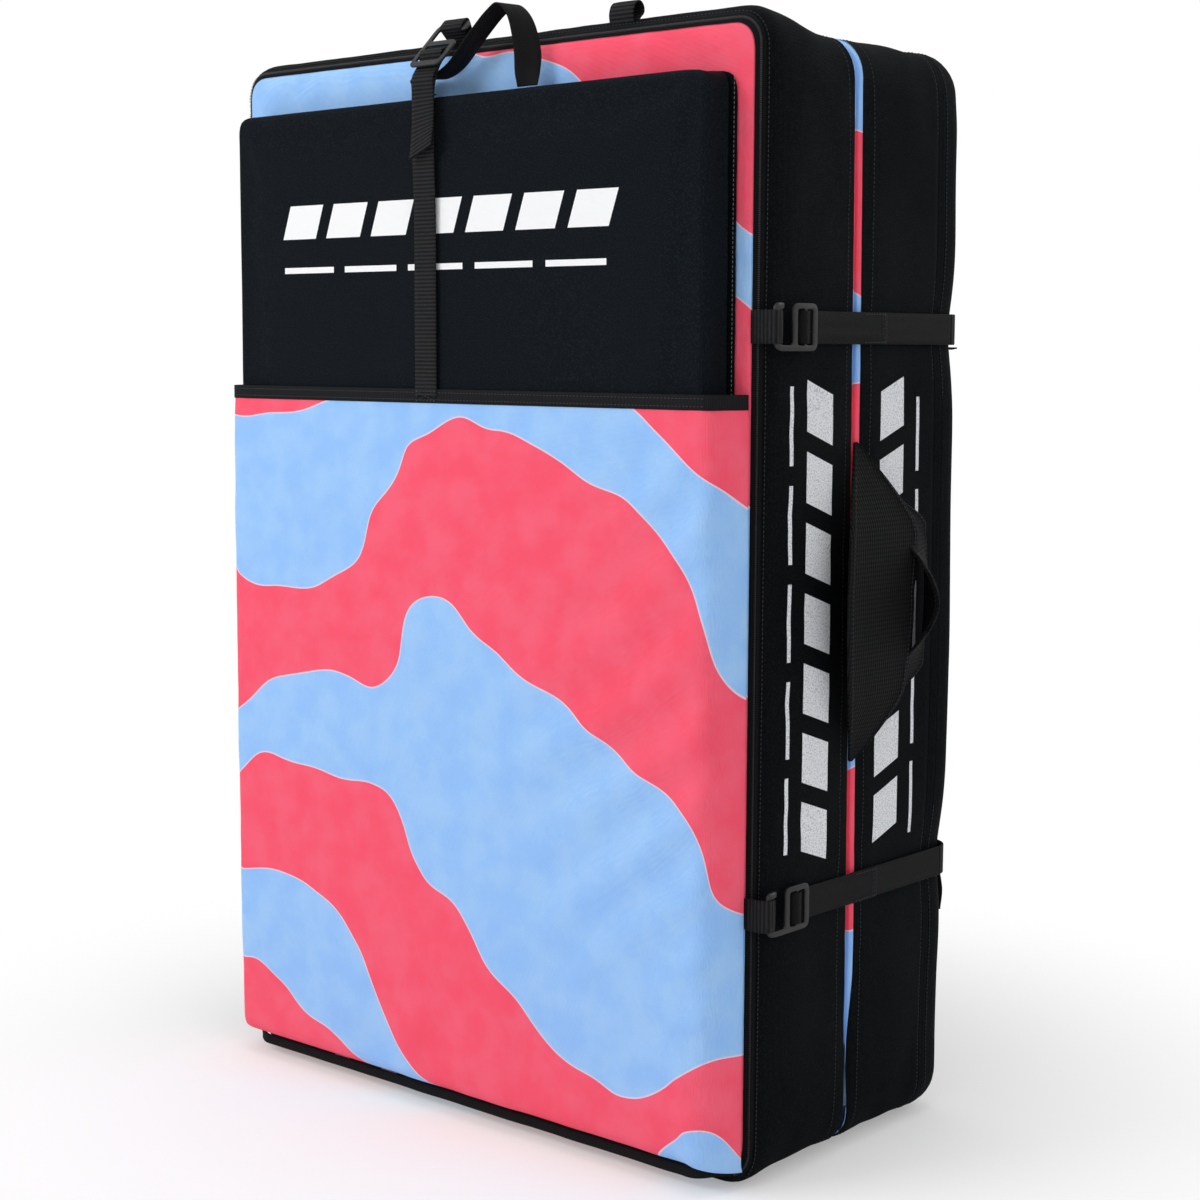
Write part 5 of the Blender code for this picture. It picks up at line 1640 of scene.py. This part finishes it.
def edgeRow(side, angle=90, depth=None, count=90):
    # A line round a half, at an angle on its outer edge, or at a depth from its face
    inset = 0.0
    if depth is None:
        turn = math.radians(angle)
        inset = pad["outerEdge"] * (1 - math.sin(turn))
        depth = pad["outerEdge"] * (1 - math.cos(turn))
    points = []
    upward = int(count * 1.5)
    for x, z in ringPoints(sideX - inset, padHeight / 2 - inset, pad["corner"] - inset, count, upward):
        if side == "front":
            points.append(Vector((x, depth - halfDepth, z + padHeight / 2)))
        else:
            points.append(Vector((-x, rearDepth - depth, z + padHeight / 2)))
    return points + points[:1]


seams = {"lift": 0.00015, "bandAngle": 54, "landing": 0.0125, "flange": 0.0026}
frontSurface = surfaceOf(frontBand, zipTape, frontPanel)
rearSurface = surfaceOf(rearBand, edgeBinding, rearPanel)
sew("front_half", laid(frontSurface, edgeRow("front", seams["bandAngle"]), seams["lift"]))
landingRow = pad["halfThickness"] - seams["landing"]
sew("front_half", laid(frontSurface, edgeRow("front", depth=landingRow), seams["lift"]))
for depth in (pad["backLip"] - 0.003, pad["backLip"] + pad["tape"] + 0.003, landingRow + pad["backPadding"]):
    sew("rear_half", laid(rearSurface, edgeRow("rear", depth=depth), seams["lift"]))

flangeY = smallBackY - small["back"] - 0.0001
flangeX = smallWidth / 2 + seams["flange"]
levels = [small["bottom"] + 0.012 + (smallHeight - 0.02) * i / 60 for i in range(61)]
for side in (-1, 1):
    sew("small_pad", [(smallX + side * flangeX, flangeY, z) for z in levels], "paleThread")
for handle, sections, body in ((frontHandle, frontSections, "front_grab"),
                               (rearHandle, rearSections, "rear_grab")):
    tree = surfaceOf(handle)
    for share in (-0.88, 0.88):
        for side in (-1, 1):
            row = []
            for place, across in sections[3:-3]:
                tangentOut = across.cross(Vector((0, 0, 1))).normalized() * 0.002 * side
                row.append(place + across * share + tangentOut)
            sew(body, laid(tree, row, 0.0001))

# Stitches are set along their rows by one node tree
stitch = {"pitch": 0.0042, "length": 0.0030, "width": 0.0008, "height": 0.0008, "rings": 4}


def pathTree(name, rings):
    # Puts one small ball, stretched, at even steps along every edge line it is given
    tree = bpy.data.node_groups.new(name, "GeometryNodeTree")
    face = tree.interface
    face.new_socket("Geometry", in_out="INPUT", socket_type="NodeSocketGeometry")
    for label, value in (("Pitch", 0.004), ("Length", 0.003), ("Width", 0.0008), ("Height", 0.0008)):
        socket = face.new_socket(label, in_out="INPUT", socket_type="NodeSocketFloat")
        socket.default_value = value
    face.new_socket("Material", in_out="INPUT", socket_type="NodeSocketMaterial")
    face.new_socket("Geometry", in_out="OUTPUT", socket_type="NodeSocketGeometry")
    nodes, links = tree.nodes, tree.links
    start, end = nodes.new("NodeGroupInput"), nodes.new("NodeGroupOutput")
    curve = nodes.new("GeometryNodeMeshToCurve")
    even = nodes.new("GeometryNodeResampleCurve")
    even.mode = "LENGTH"
    tangent = nodes.new("GeometryNodeInputTangent")
    turn = nodes.new("FunctionNodeAlignRotationToVector")
    turn.axis = "Z"
    scale = nodes.new("ShaderNodeCombineXYZ")
    place = nodes.new("GeometryNodeInstanceOnPoints")
    real = nodes.new("GeometryNodeRealizeInstances")
    paint = nodes.new("GeometryNodeSetMaterial")
    ball = nodes.new("GeometryNodeMeshUVSphere")
    for label, value in (("Segments", 6), ("Rings", rings), ("Radius", 0.5)):
        ball.inputs[label].default_value = value
    links.new(start.outputs["Geometry"], curve.inputs[0])
    links.new(curve.outputs[0], even.inputs["Curve"])
    links.new(start.outputs["Pitch"], even.inputs["Length"])
    links.new(even.outputs[0], place.inputs["Points"])
    links.new(ball.outputs["Mesh"], place.inputs["Instance"])
    links.new(tangent.outputs[0], turn.inputs["Vector"])
    links.new(turn.outputs[0], place.inputs["Rotation"])
    for label, axis in (("Width", "X"), ("Height", "Y"), ("Length", "Z")):
        links.new(start.outputs[label], scale.inputs[axis])
    links.new(scale.outputs[0], place.inputs["Scale"])
    links.new(place.outputs[0], real.inputs[0])
    links.new(real.outputs[0], paint.inputs["Geometry"])
    links.new(start.outputs["Material"], paint.inputs["Material"])
    links.new(paint.outputs[0], end.inputs[0])
    return tree


def alongRows(name, tree, rows, sizes, material):
    # Runs the node tree over the rows and keeps the result as a plain mesh
    verts, edges = [], []
    for row in rows:
        first = len(verts)
        verts += [tuple(p) for p in row]
        edges += [(first + i, first + i + 1) for i in range(len(row) - 1)]
    mesh = bpy.data.meshes.new(name)
    mesh.from_pydata(verts, edges, [])
    obj = bpy.data.objects.new(name, mesh)
    scene.collection.objects.link(obj)
    setter = obj.modifiers.new("rows", "NODES")
    setter.node_group = tree
    names = {item.name: item.identifier for item in tree.interface.items_tree
             if item.item_type == "SOCKET" and item.in_out == "INPUT"}
    for label in ("Pitch", "Length", "Width", "Height"):
        setter[names[label]] = sizes[label.lower()]
    setter[names["Material"]] = material
    bakeModifiers(obj)
    obj.data.shade_smooth()
    return obj


stitchTree = pathTree("stitchRows", stitch["rings"])
for (body, thread), rows in sorted(stitchRows.items()):
    piece = alongRows(body + ("Stitches" if thread == "thread" else "PaleStitches"), stitchTree, rows, stitch,
                      finishes[thread])
    keep(piece, body)

coil = {"pitch": 0.0016, "length": 0.0011, "width": 0.0036, "height": 0.0016, "angle": 35, "rings": 3}
coilTree = pathTree("zipCoil", coil["rings"])
coilRow = laid(frontSurface, edgeRow("front", coil["angle"], count=140), 0.0003)
zipCoil = alongRows("zipCoil", coilTree, [coilRow], coil, finishes["teeth"])
keep(zipCoil, "front_half")
print("stage: seams and zip coil made")

# Everything goes to the frame's own place, and the kept pieces then go onto their bodies
slide = Matrix.Translation(shift)
for obj in [hingeStrip] + [row[0] for row in shoulderWebbings.values()]:
    obj.data.transform(slide)
for obj, body, node, others in made:
    obj.data.transform(slide)
    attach(obj, body)
    if node:
        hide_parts(node, *others)
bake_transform(hingeStrip)
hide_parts("hinge_strip")
for side, (webbing, centre, anchor) in shoulderWebbings.items():
    side + "_shoulder"
    shift + anchor + (centre - anchor) * 0.25
    shift + anchor + (centre - anchor) * 0.9
    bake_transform(webbing)
    side + "_shoulder_webbing"
    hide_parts(side + "_shoulder_webbing")
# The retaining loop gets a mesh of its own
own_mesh(retainingLoop)
print("stage: pieces set on the frame")

# The floor, the light and the camera
stageValues = {"floor": (0.93, 0.93, 0.93, 1), "world": 0.66, "aim": (0, 0, 0.5)}
# Each lamp's place, size and power
lamps = {"keyLight": ((-1.6, -2.6, 2.4), 1.6, 46), "fillLight": ((3.0, -1.2, 1.5), 1.6, 6),
         "rimLight": ((1.2, 2.8, 2.0), 1.6, 10), "topLight": ((0.3, -0.3, 3.2), 1.4, 16)}


def buildStage():
    bm = bmesh.new()
    bmesh.ops.create_grid(bm, x_segments=2, y_segments=2, size=30)
    material, wire, shader = newFinish("paleFloor", Roughness=0.9, Specular_IOR_Level=0.1)
    place = padCoords(wire)
    far = place.put("ShaderNodeVectorMath", {"operation": "LENGTH"}, {0: place}, 1)
    far = far.mapped(0.36, 0.95, 0.30, 1.0)
    shader.inputs["Base Color"].default_value = stageValues["floor"]
    glow = wire.put("ShaderNodeEmission", {}, {"Color": (1, 1, 1, 1), "Strength": 1.0})
    camera = wire.put("ShaderNodeLightPath")
    mix = wire.tree.nodes.new("ShaderNodeMixShader")
    seen = (far * camera).sum("MINIMUM", 1.0)
    wire.tree.links.new(seen.socket, mix.inputs[0])
    wire.tree.links.new(shader.outputs[0], mix.inputs[1])
    wire.tree.links.new(glow.socket, mix.inputs[2])
    output = next(n for n in wire.tree.nodes if n.type == "OUTPUT_MATERIAL")
    wire.tree.links.new(mix.outputs[0], output.inputs[0])
    floor = bmeshPiece("paleFloor", bm, material, False)
    floor.data.transform(Matrix.Translation((0, 0, -0.0005)))
    world = bpy.data.worlds.new("softWorld")
    scene.world = world
    world.use_nodes = True
    tree = world.node_tree
    tree.nodes.clear()
    sky = Wire(tree)
    path = tree.nodes.new("ShaderNodeLightPath")
    camera, glossy = (Wire(tree, path.outputs[label]) for label in ("Is Camera Ray", "Is Glossy Ray"))
    seen = camera.sum("MAXIMUM", glossy * 0.4)
    strength = stageValues["world"] + seen * (1 - stageValues["world"])
    background = sky.put("ShaderNodeBackground", {}, {"Color": (1, 1, 1, 1), "Strength": strength})
    output = tree.nodes.new("ShaderNodeOutputWorld")
    tree.links.new(background.socket, output.inputs[0])
    for name, (spot, size, power) in lamps.items():
        lamp = bpy.data.lights.new(name, "AREA")
        lamp.shape = "SQUARE"
        lamp.size = size
        lamp.energy = power
        obj = bpy.data.objects.new(name, lamp)
        scene.collection.objects.link(obj)
        obj.location = spot
        obj.rotation_euler = (Vector(stageValues["aim"]) - Vector(spot)).to_track_quat("-Z", "Y").to_euler()


buildStage()

view = {"azimuth": 41.11, "elevation": 6.55, "roll": 0.22, "distance": 2.290, "target": (0.036, 0, 0.515),
        "lens": 65.97}


def buildCamera():
    a, e, r = (math.radians(view[key]) for key in ("azimuth", "elevation", "roll"))
    back = Vector((math.sin(a) * math.cos(e), -math.cos(a) * math.cos(e), math.sin(e)))
    right = Vector((math.cos(a), math.sin(a), 0))
    up = right.cross(-back)
    turnedRight = right * math.cos(r) + up * math.sin(r)
    turnedUp = up * math.cos(r) - right * math.sin(r)
    camera = bpy.data.cameras.new("photoCamera")
    camera.lens = view["lens"]
    camera.sensor_width = 36
    camera.sensor_fit = "HORIZONTAL"
    camera.clip_start = 0.05
    obj = bpy.data.objects.new("photoCamera", camera)
    scene.collection.objects.link(obj)
    turn = Matrix((turnedRight, turnedUp, back)).transposed().to_4x4()
    turn.translation = Vector(view["target"]) + shift + back * view["distance"]
    obj.matrix_world = turn
    scene.camera = obj


buildCamera()
print("stage: camera and light set")
